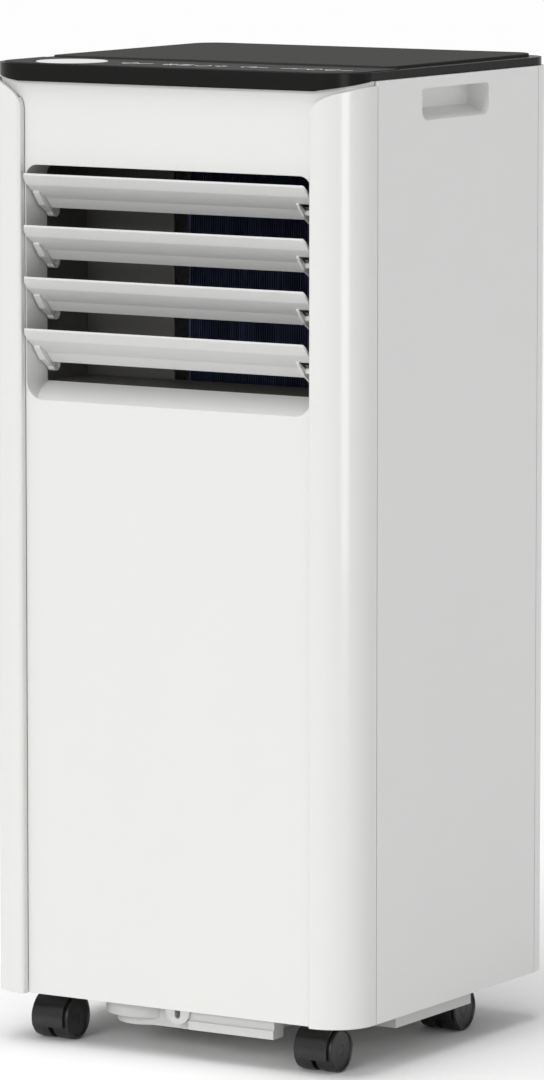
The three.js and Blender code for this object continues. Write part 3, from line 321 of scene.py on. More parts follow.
    def turn(self, degrees: float, axis: str, centre: Triple) -> "Blank":
        """Turns the mesh about a line through a point, along "X", "Y" or "Z"."""
        middle = Matrix.Translation(Vector(centre) * MM)
        return self.carry(middle @ Matrix.Rotation(math.radians(degrees), 4, axis) @ middle.inverted())

    def mirrored(self, name: str) -> "Blank":
        """Copy on the other side of the middle plane, its faces turned the right way out."""
        return self.copy(name).carry(Matrix.Scale(-1, 4, (1, 0, 0))).edit(("flip_normals", {}))

    def repeat(self, count: int, step: Triple) -> "Blank":
        """Row of equal copies in one piece, each a step from the last."""
        fixed = {"use_relative_offset": False, "use_constant_offset": True}
        return self.modify("ARRAY", count=count, constant_offset_displace=Vector(step) * MM, **fixed)

    def place(self, body: str, slot: str, finish: "Finish", *nodes: str) -> "Blank":
        """Shades, dresses and mounts the finished piece.

        Args:
            body: body that it rides on.
            slot: material slot of the record; not used.
            finish: how it looks.
            nodes: frame nodes that it stands for.

        Returns:
            This blank.
        """
        self.pick()
        bpy.ops.object.shade_smooth_by_angle(angle=math.radians(SOFT_ANGLE))
        self.modify("WEIGHTED_NORMAL", keep_sharp=True)
        self.obj.data.materials.clear()
        self.obj.data.materials.append(finish.material())
        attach(self.obj, body)
        if nodes:
            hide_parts(*nodes)
        log.info("%s on %s, %d faces", self.obj.name, body, len(self.obj.data.polygons))
        return self


# --- Finishes ---
class Value:
    """Number socket that takes part in sums."""

    def __init__(self, graph: "Graph", socket: bpy.types.NodeSocket) -> None:
        """Wraps a socket of a graph."""
        self.graph = graph
        self.socket = socket

    def _with(self, operation: str, first: Term, second: Term) -> "Value":
        """Math node on two values."""
        node = self.graph.node("ShaderNodeMath", {"operation": operation}, {0: first, 1: second})
        return Value(self.graph, node.outputs[0])

    def __add__(self, other: Term) -> "Value":
        """Sum."""
        return self._with("ADD", self, other)

    __radd__ = __add__

    def __mul__(self, other: Term) -> "Value":
        """Product."""
        return self._with("MULTIPLY", self, other)

    __rmul__ = __mul__

    def __sub__(self, other: Term) -> "Value":
        """Difference."""
        return self._with("SUBTRACT", self, other)

    def __rsub__(self, other: Number) -> "Value":
        """Difference from a number."""
        return self._with("SUBTRACT", other, self)

    def over(self, edge: Number) -> "Value":
        """1 where the value is over an edge, otherwise 0."""
        return self._with("GREATER_THAN", self, edge)


class Graph:
    """Node tree of one material, with its surface shader."""

    def __init__(self, name: str) -> None:
        """Starts a material with a bare Principled shader."""
        self.material = bpy.data.materials.new(name)
        self.material.use_nodes = True
        self.tree = self.material.node_tree
        self.shader = self.tree.nodes["Principled BSDF"]

    def node(
        self, kind: str, settings: dict[str, object], inputs: dict[Union[str, int], object]
    ) -> bpy.types.Node:
        """Adds a node.

        Args:
            kind: node type.
            settings: its properties; "stops" are the stops of a ramp, as position and colour.
            inputs: values or links of its sockets, by name or number.

        Returns:
            The node.
        """
        node = self.tree.nodes.new(kind)
        for key, value in settings.items():
            if key == "stops":
                for element, (position, colour) in zip(node.color_ramp.elements, value):
                    element.position, element.color = position, (*colour, 1)
            else:
                setattr(node, key, value)
        for key, value in inputs.items():
            self.feed(node.inputs[key], value)
        return node

    def feed(self, socket: bpy.types.NodeSocket, value: object) -> None:
        """Sets a socket to a value, or links it.

        Args:
            socket: socket to fill.
            value: number, colour, vector, socket or Value.
        """
        if isinstance(value, Value):
            value = value.socket
        if isinstance(value, bpy.types.NodeSocket):
            self.tree.links.new(value, socket)
        elif socket.type == "RGBA" and len(value) == 3:
            socket.default_value = (*value, 1)
        else:
            socket.default_value = value

    def place(self, scale: Triple = (1, 1, 1)) -> bpy.types.NodeSocket:
        """Object coordinates in metres, scaled in each direction."""
        source = self.node("ShaderNodeTexCoord", {}, {}).outputs["Object"]
        return self.node("ShaderNodeMapping", {}, {"Vector": source, "Scale": scale}).outputs[0]

    def noise(self, grain: float, stretch: Triple) -> Value:
        """Noise of a grain size, 0.5 on average; a stretch under 1 makes the grain longer that way."""
        inputs = {"Vector": self.place(stretch), "Scale": 1 / (grain * MM), "Detail": 2}
        return Value(self, self.node("ShaderNodeTexNoise", {}, inputs).outputs[0])

    def waves(self, pitch: float, direction: str) -> Value:
        """Even ridges of a pitch across one direction, 0 to 1."""
        settings = {"wave_type": "BANDS", "bands_direction": direction, "wave_profile": "SIN"}
        inputs = {"Vector": self.place(), "Scale": 1 / (pitch * MM) / WAVES_PER_UNIT}
        return Value(self, self.node("ShaderNodeTexWave", settings, inputs).outputs["Fac"])

    def tint(self, mask: Value, low: Triple, high: Triple) -> bpy.types.NodeSocket:
        """Colour between two colours, the first where the mask is 0 and the second where it is 1."""
        return self.node("ShaderNodeMix", {"data_type": "RGBA"}, {0: mask, 6: low, 7: high}).outputs[2]

    def relief(self, height: Value, depth: float) -> None:
        """Bumps the surface by a height from 0 to 1, with the depth of 1 in millimetres."""
        inputs = {"Height": height, "Distance": depth * MM, "Strength": 1.0}
        self.feed(self.shader.inputs["Normal"], self.node("ShaderNodeBump", {}, inputs).outputs[0])

    def surface(self, **sockets: object) -> None:
        """Fills sockets of the surface shader; an underscore in a name stands for a space."""
        for key, value in sockets.items():
            self.feed(self.shader.inputs[key.replace("_", " ")], value)


class Grain(Enum):
    """Kinds of surface pattern."""

    MOULDED = "fine texture of a polished or spark-eroded mould"
    BRUSHED = "long scratches along the height"
    FINS = "close upright metal fins, each a little different"
    WOVEN = "crossing threads"
    BOARD = "copper tracks under solder mask"


@dataclass(frozen=True)
class Finish:
    """How a surface looks; the grain's size and depth are in millimetres."""

    BROAD = 90  # size of the slow change over a surface
    FIN_BROAD = 14  # the same from fin to fin
    TRACKS = (3, 0.8)  # pitch of a board's tracks, and the level over which copper shows

    name: str
    colour: Triple  # linear
    roughness: float
    metallic: float = 0.0
    coat: float = 0.0
    mottle: float = 0.02  # share by which the colour varies
    grain: float = 0.6
    depth: float = 0.004
    kind: Grain = Grain.MOULDED
    specular: float = 0.5
    rough_fine: float = 0.12
    rough_broad: float = 0.05

    def shade(self, share: float) -> Triple:
        """Base colour made lighter by a share, or darker if negative."""
        return tuple(min(1.0, c * (1 + share)) for c in self.colour)

    def material(self) -> bpy.types.Material:
        """The material, made once and then shared."""
        made = bpy.data.materials.get(self.name)
        return made if made else self._build()

    def _build(self) -> bpy.types.Material:
        """Builds the node tree."""
        graph = Graph(self.name)
        fine = graph.noise(self.grain, (1, 1, 0.02 if self.kind in (Grain.BRUSHED, Grain.FINS) else 1))
        broad = graph.noise(self.BROAD, (1, 1, 0.5))
        mask, height = broad, fine
        if self.kind is Grain.FINS:
            mask = fine * graph.noise(self.FIN_BROAD, (1, 1, 0.3)) * 2
        elif self.kind is Grain.WOVEN:
            mask = graph.waves(self.grain, "X") * graph.waves(self.grain, "Z")
            height = mask
        elif self.kind is Grain.BOARD:
            mask = graph.waves(self.TRACKS[0], "X").over(self.TRACKS[1])
            height = mask
        graph.surface(
            Base_Color=graph.tint(mask, self.shade(-self.mottle), self.shade(self.mottle)),
            Roughness=(fine - 0.5) * self.rough_fine + (broad - 0.5) * self.rough_broad + self.roughness,
            Metallic=self.metallic,
            Coat_Weight=self.coat,
            Coat_Roughness=0.06,
            Specular_IOR_Level=self.specular,
        )
        graph.relief(height, self.depth)
        return graph.material


CASING = Finish("casing", (0.71, 0.71, 0.695), 0.36, coat=0.1, mottle=0.012, depth=0.002)
PILLAR = Finish("pillar", (0.7, 0.7, 0.685), 0.24, coat=0.3, mottle=0.008, depth=0.001)
SIDE = Finish("side", (0.74, 0.74, 0.735), 0.42, mottle=0.012, grain=0.8, depth=0.004)
CAP = Finish("cap", (0.009, 0.009, 0.0085), 0.25, mottle=0.1, depth=0.001, specular=0.09)
PLATE = Finish("plate", (0.046, 0.046, 0.042), 0.62, mottle=0.08, grain=0.5, depth=0.01, specular=0.05)
STRIP = Finish("strip", (0.04, 0.04, 0.04), 0.45, mottle=0.05, depth=0.0005, specular=0.03)
DISC = Finish("disc", (0.9, 0.9, 0.89), 0.3, mottle=0.01, depth=0.001)
MARKS = Finish("marks", (0.9, 0.9, 0.88), 0.5, mottle=0.03, depth=0.001)
BLADE = Finish("blade", (0.64, 0.64, 0.635), 0.42, mottle=0.015, depth=0.003)
DUCT = Finish("duct", (0.075, 0.073, 0.066), 0.55, mottle=0.1, depth=0.01)
BAFFLE = Finish("baffle", (0.085, 0.083, 0.076), 0.5, mottle=0.1, depth=0.01)
BLUE_FINS = Finish("blue_fins", (0.04, 0.052, 0.11), 0.42, 0.5, 0, 0.95, 1.7, 0.05, Grain.FINS)
BARE_FINS = Finish("bare_fins", (0.5, 0.51, 0.52), 0.35, 1.0, 0, 0.25, 1.7, 0.05, Grain.FINS)
FOAM = Finish("foam", (0.72, 0.72, 0.7), 0.85, mottle=0.05, grain=1.5, depth=0.05)
BLOWER = Finish("blower", (0.025, 0.025, 0.025), 0.5, mottle=0.1, depth=0.008)
ZINC = Finish("zinc", (0.5, 0.51, 0.52), 0.32, 1.0, 0, 0.12, 0.5, 0.004, Grain.BRUSHED)
ENAMEL = Finish("enamel", (0.012, 0.012, 0.013), 0.3, coat=0.5, mottle=0.15, grain=1.2, depth=0.01)
COPPER = Finish("copper", (0.62, 0.28, 0.14), 0.28, 1.0, 0, 0.15, 1.0, 0.004, Grain.BRUSHED)
BOARD = Finish("board", (0.02, 0.11, 0.045), 0.35, coat=0.3, mottle=0.35, depth=0.03, kind=Grain.BOARD)
TRAY = Finish("tray", (0.56, 0.56, 0.55), 0.5, mottle=0.03, grain=0.9, depth=0.008)
HOOD = Finish("hood", (0.008, 0.008, 0.008), 0.3, coat=0.1, mottle=0.15, depth=0.004)
TYRE = Finish("tyre", (0.009, 0.009, 0.009), 0.36, mottle=0.15, depth=0.006)
THREADS = Finish("threads", (0.16, 0.17, 0.18), 0.8, mottle=0.25, grain=0.7, depth=0.04, kind=Grain.WOVEN)
RUBBER = Finish("rubber", (0.017, 0.017, 0.017), 0.75, mottle=0.15, grain=0.7, depth=0.015)
FLOOR = Finish("floor", (0.93, 0.93, 0.93), 0.9, mottle=0.003, grain=30, depth=0.02, specular=0.1)


# --- Cabinet ---
@dataclass(frozen=True)
class Skirt:
    """Lower edge of the black rim: low along the front, rising round the corners to the sides."""

    front: float = 661.8
    side: float = 668
    corner_x: float = 117
    corner_y: float = -112
    radius: float = 30
    reach: float = 160
    low: float = 600
    high: float = 700
    lap: float = 0.1

    def height(self, x: float, y: float) -> float:
        """Height of the edge at a place on a front corner."""
        climb = (abs(x) - self.corner_x) / self.radius + (y - self.corner_y + self.radius) / self.radius
        return self.front + (self.side - self.front) / 2 * climb

    def corners(self, above: bool, gap: float) -> list[Blank]:
        """Blocks over or under the edge at the two front corners.

        Args:
            above: whether the blocks lie over the edge.
            gap: distance by which they start lower.

        Returns:
            The two blocks.
        """
        blocks = []
        for side in (-1, 1):
            x = tuple(sorted((side * (self.corner_x - self.lap), side * self.reach)))
            block = Blank.box("corner", x, (-self.reach, self.corner_y + self.lap), (self.low, self.high))
            for vertex in block.obj.data.vertices:
                if (vertex.co.z < self.front * MM) is above:
                    place = vertex.co / MM
                    vertex.co.z = (self.height(place.x, place.y) - gap) * MM
            blocks.append(block)
        return blocks

    def over(self, gap: float) -> list[Blank]:
        """Blocks that hold everything above the edge, less a gap."""
        x, y = self.corner_x, self.corner_y
        return [
            Blank.box("front", (-x, x), (-self.reach, y), (self.front - gap, self.high)),
            Blank.box("back", (-self.reach, self.reach), (y, self.reach), (self.side - gap, self.high)),
            *self.corners(True, gap),
        ]

    def under(self) -> list[Blank]:
        """Blocks that hold everything below the edge at the corners, the sides and the back."""
        width = (-self.reach, self.reach)
        back = Blank.box("back", width, (self.corner_y, self.reach), (self.low, self.side))
        return [back, *self.corners(False, 0)]


SKIRT = Skirt()


@dataclass
class Cabinet:
    """Shell of the machine: front panel, pillars, sides and back."""

    half: float = 147
    face: float = -136
    pillar_face: float = -142
    pillar_edge: float = 114
    corner_x: float = 117
    corner_y: float = -112
    corner_radius: float = 30
    side_seam: float = -107.4
    rear_seam: float = 109
    bottom: float = 35
    top: float = 668
    front_top: float = 661.8
    wall: float = 2.5
    gap: float = 0.3
    open_x: float = 113
    open_low: float = 445.4
    open_high: float = 605.3
    recess: float = -110.5
    seam: float = 0.8
    left_seam: float = 0.3
    tuck: float = 4.5
    nose: float = 2.6
    sill_rise: float = 10.6
    corners: Point = (13, 9)  # radii of the outlet's lower and upper corners
    grip_y: Point = (-49.5, 40.2)
    grip_drop: Point = (30, 8)  # from the top to the grip's two ends
    grip_radii: Point = (8, 3)
    grip_slope: Point = (9, 7.5)
    grip_depth: float = 17
    grip_wall: float = 2
    head: Point = (27.2, 24)  # radii of the band behind the pillars' heads
    head_drop: float = 10
    lap: float = 0.5
    arch: tuple[Point, ...] = (
        *((114, 643.5), (114.5, 647), (116.2, 650.4), (119, 653.4), (122.5, 655.9)),
        *((126.5, 658), (131, 659.8), (138, 661.6), (147.5, 664.8)),
    )

    def opening(self, name: str, grow: float, low: float, high: float) -> Blank:
        """Block in the shape of the air outlet, grown all round, between two depths."""
        x, radii = self.open_x + grow, [radius + grow for radius in self.corners]
        return Blank.slab(
            name, Axis.Y, rounded(-x, x, self.open_low - grow, self.open_high + grow, *radii), low, high
        )

    def front(self) -> None:
        """Builds the front panel with its deep outlet, its sloping sill and the band behind the pillars."""
        reach, wall, face = self.pillar_edge + self.tuck, self.wall, self.face
        height = (self.bottom, self.front_top - self.gap)
        panel = Blank.box("front_shell", (-reach, reach), (face, face + wall), height)
        rx, ry = self.head
        line = [
            (self.corner_x + rx, self.side_seam + self.lap),
            *arc(self.corner_x, self.corner_y, rx, ry, 0, -90),
            *arc(-self.corner_x, self.corner_y, rx, ry, -90, -180),
            (-self.corner_x - rx, self.side_seam + self.lap),
        ]
        head = Blank.slab("head", Axis.Z, band(line, wall), self.arch[0][1] - self.head_drop, self.top)
        panel.fuse(head.cut(*SKIRT.over(self.gap))).cut(self.opening("hole", 0, face - PAST, face + 2 * wall))
        for side, seam in ((-1, self.left_seam), (1, self.seam)):
            edge = [(side * (x - seam), z + seam / 2) for x, z in self.arch if x < reach]
            end, low = side * (reach + PAST), self.bottom - PAST
            ledge = [(edge[0][0], low), *edge, (end, edge[-1][1] + PAST), (end, low)]
            panel.cut(Blank.slab("ledge", Axis.Y, ledge[::side], face - PAST, face + wall / 2))
        liner = self.opening("liner", wall, face + wall / 2, self.recess)
        liner.cut(self.opening("void", 0, face - PAST, self.recess + PAST))
        low, half = self.open_low - wall / 2, self.open_x + wall / 2
        sill = [(face, self.open_low), (face + wall, low), (self.recess, low)]
        sill.append((self.recess, self.open_low + self.sill_rise))
        panel.fuse(liner, Blank.slab("sill", Axis.X, sill, -half, half)).ease(0.8)
        louvres, end = Louvres(), self.open_x + wall + PAST
        for i in range(louvres.count):
            hole = circle(louvres.pivot_y, louvres.first_z - i * louvres.pitch, louvres.bore, 24)
            panel.cut(Blank.slab("pivot_hole", Axis.X, hole, -end, end))
        panel.place("root", "casing_white", CASING, "front_panel")

    def pillars(self) -> None:
        """Builds the two rounded corner pillars with arched heads."""
        nose = self.nose
        line = [
            (self.pillar_edge, self.face - self.gap),
            *arc(self.pillar_edge + nose, self.pillar_face + nose, nose, nose, 180, 270, 6),
            *arc(self.corner_x, self.corner_y, self.corner_radius, self.corner_radius, -90, 0, 28),
            (self.half, self.side_seam),
        ]
        right = Blank.slab("right_pillar_shell", Axis.Z, band(line, -self.wall), self.bottom, self.top)
        first, last = self.arch[0], self.arch[-1]
        left, end, top = first[0] - PAST, last[0] + PAST, self.top + PAST
        over = [(left, first[1]), *self.arch, (end, last[1]), (end, top), (left, top)]
        depth = (self.pillar_face - PAST, self.side_seam + PAST)
        right.cut(Blank.slab("over", Axis.Y, over, *depth)).ease(0.6, 3)
        right.mirrored("left_pillar_shell").place("root", "pillar_white", PILLAR, "left_pillar")
        right.place("root", "pillar_white", PILLAR, "right_pillar")

    def sides(self) -> None:
        """Builds the two flat sides with a moulded grip cup in each."""
        half, inner = self.half, self.half - self.grip_depth
        (bottom, top), (y0, y1) = [self.top - drop for drop in self.grip_drop], self.grip_y

        def grip(name: str, grow: float, low: float, high: float) -> Blank:
            """Block in the shape of the grip, grown all round."""
            outline = rounded(y0 - grow, y1 + grow, bottom - grow, top + grow, *self.grip_radii)
            return Blank.slab(name, Axis.X, outline, low, high)

        y, z = (self.side_seam + self.seam, self.rear_seam - self.seam), (self.bottom, self.top - self.gap)
        right = Blank.box("right_side_shell", (half - self.wall, half), y, z)
        outer, deep, (drop, rise) = half + PAST, inner - PAST, self.grip_slope
        slope = [(outer, bottom - drop), (deep, bottom - drop), (deep, bottom + rise), (outer, bottom)]
        hollow = grip("hollow", 0, inner, outer)
        hollow.cut(Blank.slab("slope", Axis.Y, slope, y0 - PAST, y1 + PAST))
        cup = grip("cup", self.grip_wall, inner - self.grip_wall, half - self.wall / 2)
        right.fuse(cup).cut(hollow).ease(0.9, 3)
        right.mirrored("left_side_shell").place("root", "side_white", SIDE, "left_side_panel")
        right.place("root", "side_white", SIDE, "right_side_panel")

    def back(self) -> None:
        """Finishes the back of the cabinet with eased edges."""
        Blank.of_node("rear_case", "rear_shell").ease(0.5).place("root", "side_white", SIDE, "rear_shell")

    def build(self) -> None:
        """Builds the whole shell."""
        self.front()
        self.pillars()
        self.sides()
        self.back()


@dataclass
class TopDeck:
    """Black rim, raised plate and touch strip with its disc and key marks."""

    front: float = -140.5
    radius: float = 30
    rear_y: float = 110
    rear_radius: float = 24
    half: float = 145
    low: float = 661.8
    rim: float = 673.5
    floor: float = 672
    strip_front: float = -137.5
    strip_back: float = -70.5
    strip_top: float = 674.1
    plate_half: float = 135.5
    plate_back: float = 129.5
    plate_radii: Point = (3, 18)  # at the front and at the back
    plate_top: float = 675.5
    joint: float = 1
    disc: Point = (-93, -109)
    disc_radius: float = 24.5
    disc_rise: float = 0.4
    gap: float = 0.3
    wall: float = 3
    notch: Point = (7, 9)
    ink: Point = (-0.1, 0.06)  # under and over the strip
    marks_y: float = -107
    line: float = 1.4
    bar_half: float = 0.8
    bar_radius: float = 0.7
    rings: tuple[tuple[float, ...], ...] = (  # x, radius and the two angles
        *((-47, 6, 120, 420), (11, 5.6, 200, 420), (47, 5.6, -60, 240)),
        *((98, 5.4, 0, 300), (112, 5.4, 30, 330)),
    )
    bars: tuple[tuple[float, ...], ...] = (  # x, rise, length and turn
        *((-47, 5, 6, 90), (-35, 0, 11, 30), (-15, 0, 12, 0), (-15, 0, 12, 60), (-15, 0, 12, 120)),
        *((-3, 4, 9, 0), (-3, 0, 9, 0), (-3, -4, 9, 0), (25, 0, 10, 0), (25, 0, 10, 90)),
        *((58, 0, 8, 0), (78, 0, 11, 30), (87, 0, 11, 30), (123, 0, 9, 60)),
    )

    def outline(self, grow: float) -> list[Point]:
        """Outline of the rim, grown or shrunk all round."""
        front, rear = self.radius + grow, self.rear_radius + grow
        x, y = self.half - self.radius, self.front + self.radius
        back = self.half - self.rear_radius
        return [
            *arc(-x, y, front, front, 180, 270, 24),
            *arc(x, y, front, front, 270, 360, 24),
            *arc(back, self.rear_y, rear, rear, 0, 90),
            *arc(-back, self.rear_y, rear, rear, 90, 180),
        ]

    def strip_outline(self, shrink: float) -> list[Point]:
        """Outline of the strip, its front corners following the rim."""
        radius = self.radius - self.wall - shrink
        x, y = self.half - self.radius, self.strip_front + self.radius - self.wall
        return [
            *arc(-x, y, radius, radius, 180, 270, 24),
            *arc(x, y, radius, radius, 270, 360, 24),
            (x + radius, self.strip_back - shrink),
            (-x - radius, self.strip_back - shrink),
        ]

    def plate_outline(self, shrink: float) -> list[Point]:
        """Outline of the raised plate."""
        half, front = self.plate_half - shrink, self.strip_back + self.joint + shrink
        return rounded(-half, half, front, self.plate_back - shrink, *self.plate_radii)

    def cover(self) -> None:
        """Builds the black rim, deeper at the front than along the sides."""
        cap = Blank.slab("cap_shell", Axis.Z, self.outline(0), self.low, self.rim)
        under = (self.low - PAST, self.floor - self.wall / 2)
        cap.cut(Blank.slab("hollow", Axis.Z, self.outline(-self.wall), *under), *SKIRT.under())
        for seat in (self.plate_outline(0), self.strip_outline(0)):
            cap.cut(Blank.slab("seat", Axis.Z, seat, self.floor, self.rim + PAST))
        cap.ease(0.7, 3)
        cap.place("root", "cap_black", CAP, "top_cover")

    def plates(self) -> None:
        """Builds the matt plate with its notch, the strip and the white disc."""
        low = self.floor + self.gap
        plate = Blank.slab("matt_plate", Axis.Z, self.plate_outline(self.gap), low, self.plate_top)
        x, y = self.plate_half, self.strip_back
        notch = [(x - self.notch[0], y), (x + PAST, y), (x + PAST, y + self.notch[1])]
        plate.cut(Blank.slab("notch", Axis.Z, notch, self.floor, self.plate_top + PAST)).ease(0.6, 3)
        plate.place("root", "plate_grey", PLATE, "top_plate")
        strip = Blank.slab("touch_strip", Axis.Z, self.strip_outline(self.gap), low, self.strip_top)
        well = circle(*self.disc, self.disc_radius + self.gap, 96)
        strip.cut(Blank.slab("well", Axis.Z, well, low - PAST, self.strip_top + PAST)).ease(0.3)
        strip.place("root", "strip_black", STRIP, "control_strip")
        r, top = self.disc_radius, self.strip_top + self.disc_rise
        profile = [(0, low), (r, low), (r, top - 0.6), (r - 0.2, top - 0.2), (r - 0.7, top), (0, top)]
        disc = Blank.turned("display_disc", Axis.Z, profile, (*self.disc, 0), 96)
        disc.place("root", "lens_white", DISC, "display_lens")

    def marks(self) -> None:
        """Builds the plain printed key marks."""
        ink = [self.strip_top + level for level in self.ink]

        def bar(x: float, rise: float, length: float, turn: float) -> Blank:
            """Short bar, turned about its middle."""
            half, thin, radius, y = length / 2, self.bar_half, self.bar_radius, self.marks_y + rise
            outline = rounded(x - half, x + half, y - thin, y + thin, radius, radius)
            return Blank.slab("mark", Axis.Z, outline, *ink).turn(turn, "Z", (x, y, 0))

        def ring(x: float, outer: float, start: float, end: float) -> Blank:
            """Part of a ring."""
            line = arc(x, self.marks_y, outer, outer, start, end, 24)
            return Blank.slab("mark", Axis.Z, band(line, -self.line), *ink)

        first, *rest = [*(ring(*row) for row in self.rings), *(bar(*row) for row in self.bars)]
        first.add(*rest)
        first.obj.name = "key_marks"
        first.place("root", "lens_white", MARKS)

    def build(self) -> None:
        """Builds the top."""
        self.cover()
        self.plates()
        self.marks()


@dataclass
class Louvres:
    """Four bent blades with end brackets, and the link behind them."""

    end: float = 111.8
    bracket: float = 99.8
    pivot_y: float = -120
    first_z: float = 579.7
    pitch: float = 35.1
    count: int = 4
    wall: float = 1.8
    stub: float = 115.2
    bore: float = 2.3
    soft: float = 0.7
    corners: tuple[Point, ...] = ((-22.5, 20), (-15.9, 13.1), (-0.9, 3.5), (6, -3.7))
    clip_offset: Point = (11, -7)
    left_clip: Triple = (5, 4.6, 2.7)  # width, outer radius and inner radius
    right_clip: Triple = (2, 3.9, 2.1)
    boss: float = 3.9
    pin: float = 2
    side_gap: float = 0.4
    left_notch: float = 5.8
    notches: Point = (-9, -2)  # where the right and the left notch start
    tip: float = -24.3
    tip_radii: Point = (5, 1)

    def line(self) -> list[Point]:
        """Front face of the blade's section, its bends softened, from the pivot."""
        line = [self.corners[0]]
        for three in zip(self.corners, self.corners[1:], self.corners[2:]):
            before, bend, after = (Vector(corner) for corner in three)
            start, finish = (bend + (other - bend).normalized() * self.soft for other in (before, after))
            for t in (0, 0.25, 0.5, 0.75, 1):
                line.append(tuple(start * (1 - t) ** 2 + bend * 2 * t * (1 - t) + finish * t**2))
        return [*line, self.corners[-1]]

    def clip(self, x: Point, stub: float, ring: float, bore: float) -> Blank:
        """Web, pivot stub and open clip at one end, about a pivot at the origin.

        Args:
            x: left and right faces.
            stub: end of the pivot stub.
            ring: outer radius of the clip.
            bore: inner radius of the clip.

        Returns:
            The bracket.
        """
        y, z = self.clip_offset
        web = [(-10, 9), (-10, 6), (-3, -2.5), (y - 2.5, z - 2.6), (y - 3, z + 3), (3.2, 2), (1.1, 2.2)]
        bracket = Blank.slab("web", Axis.X, web, *x)
        bracket.fuse(
            Blank.slab("boss", Axis.X, circle(0, 0, self.boss, 28), *x),
            Blank.slab("ring", Axis.X, circle(y, z, ring, 28), *x),
        )
        mouth = [(y - bore, z), (y + bore, z), (y + bore - 0.6, z + 8), (y - bore, z + 8)]
        through = (x[0] - PAST, x[1] + PAST)
        bracket.cut(
            Blank.slab("bore", Axis.X, circle(y, z, bore, 24), *through),
            Blank.slab("mouth", Axis.X, mouth, *through),
        )
        pin = Blank.slab("stub", Axis.X, circle(0, 0, self.pin, 20), min(x[0], stub), max(x[1], stub))
        return bracket.fuse(pin).ease(0.3)

    def clips(self) -> Blank:
        """Both brackets of one blade, the left one close to the wall of the recess."""
        (thick, *left), (thin, *right), start = self.left_clip, self.right_clip, -self.end + self.side_gap
        brackets = self.clip((start, start + thick), -self.stub, *left)
        return brackets.add(self.clip((self.bracket - thin, self.bracket), self.stub, *right))

    def blade(self) -> Blank:
        """One blade about a pivot at the origin."""
        blade = Blank.slab("blade", Axis.X, band(self.line(), self.wall), -self.end, self.end)
        plan = rounded(-self.end, self.end, self.tip, 20, *self.tip_radii)
        blade.keep(Blank.slab("plan", Axis.Z, plan, -40, 40))
        ends = (self.bracket, self.end + PAST), (-self.end - PAST, self.left_notch - self.end)
        for x, y in zip(ends, self.notches):
            blade.cut(Blank.box("notch", x, (y, 20), (-20, 20)))
        return blade.ease(0.25)

    def build(self) -> None:
        """Builds one blade, copies it to each pivot, and finishes the link."""
        pattern, clips = self.blade(), self.clips()
        for i in range(self.count):
            place = (0, self.pivot_y, self.first_z - i * self.pitch)
            body = f"louvre_{i + 1}"
            pattern.copy(f"blade_{i + 1}", place).place(body, "louvre_white", BLADE, body)
            clips.copy(f"clips_{i + 1}", place).place(body, "louvre_white", PILLAR)
        for blank in (pattern, clips):
            bpy.data.objects.remove(blank.obj)
        link = Blank.of_node("link_bar", "louvre_link").ease(0.3)
        link.place("louvre_link", "duct_black", DUCT, "louvre_link")


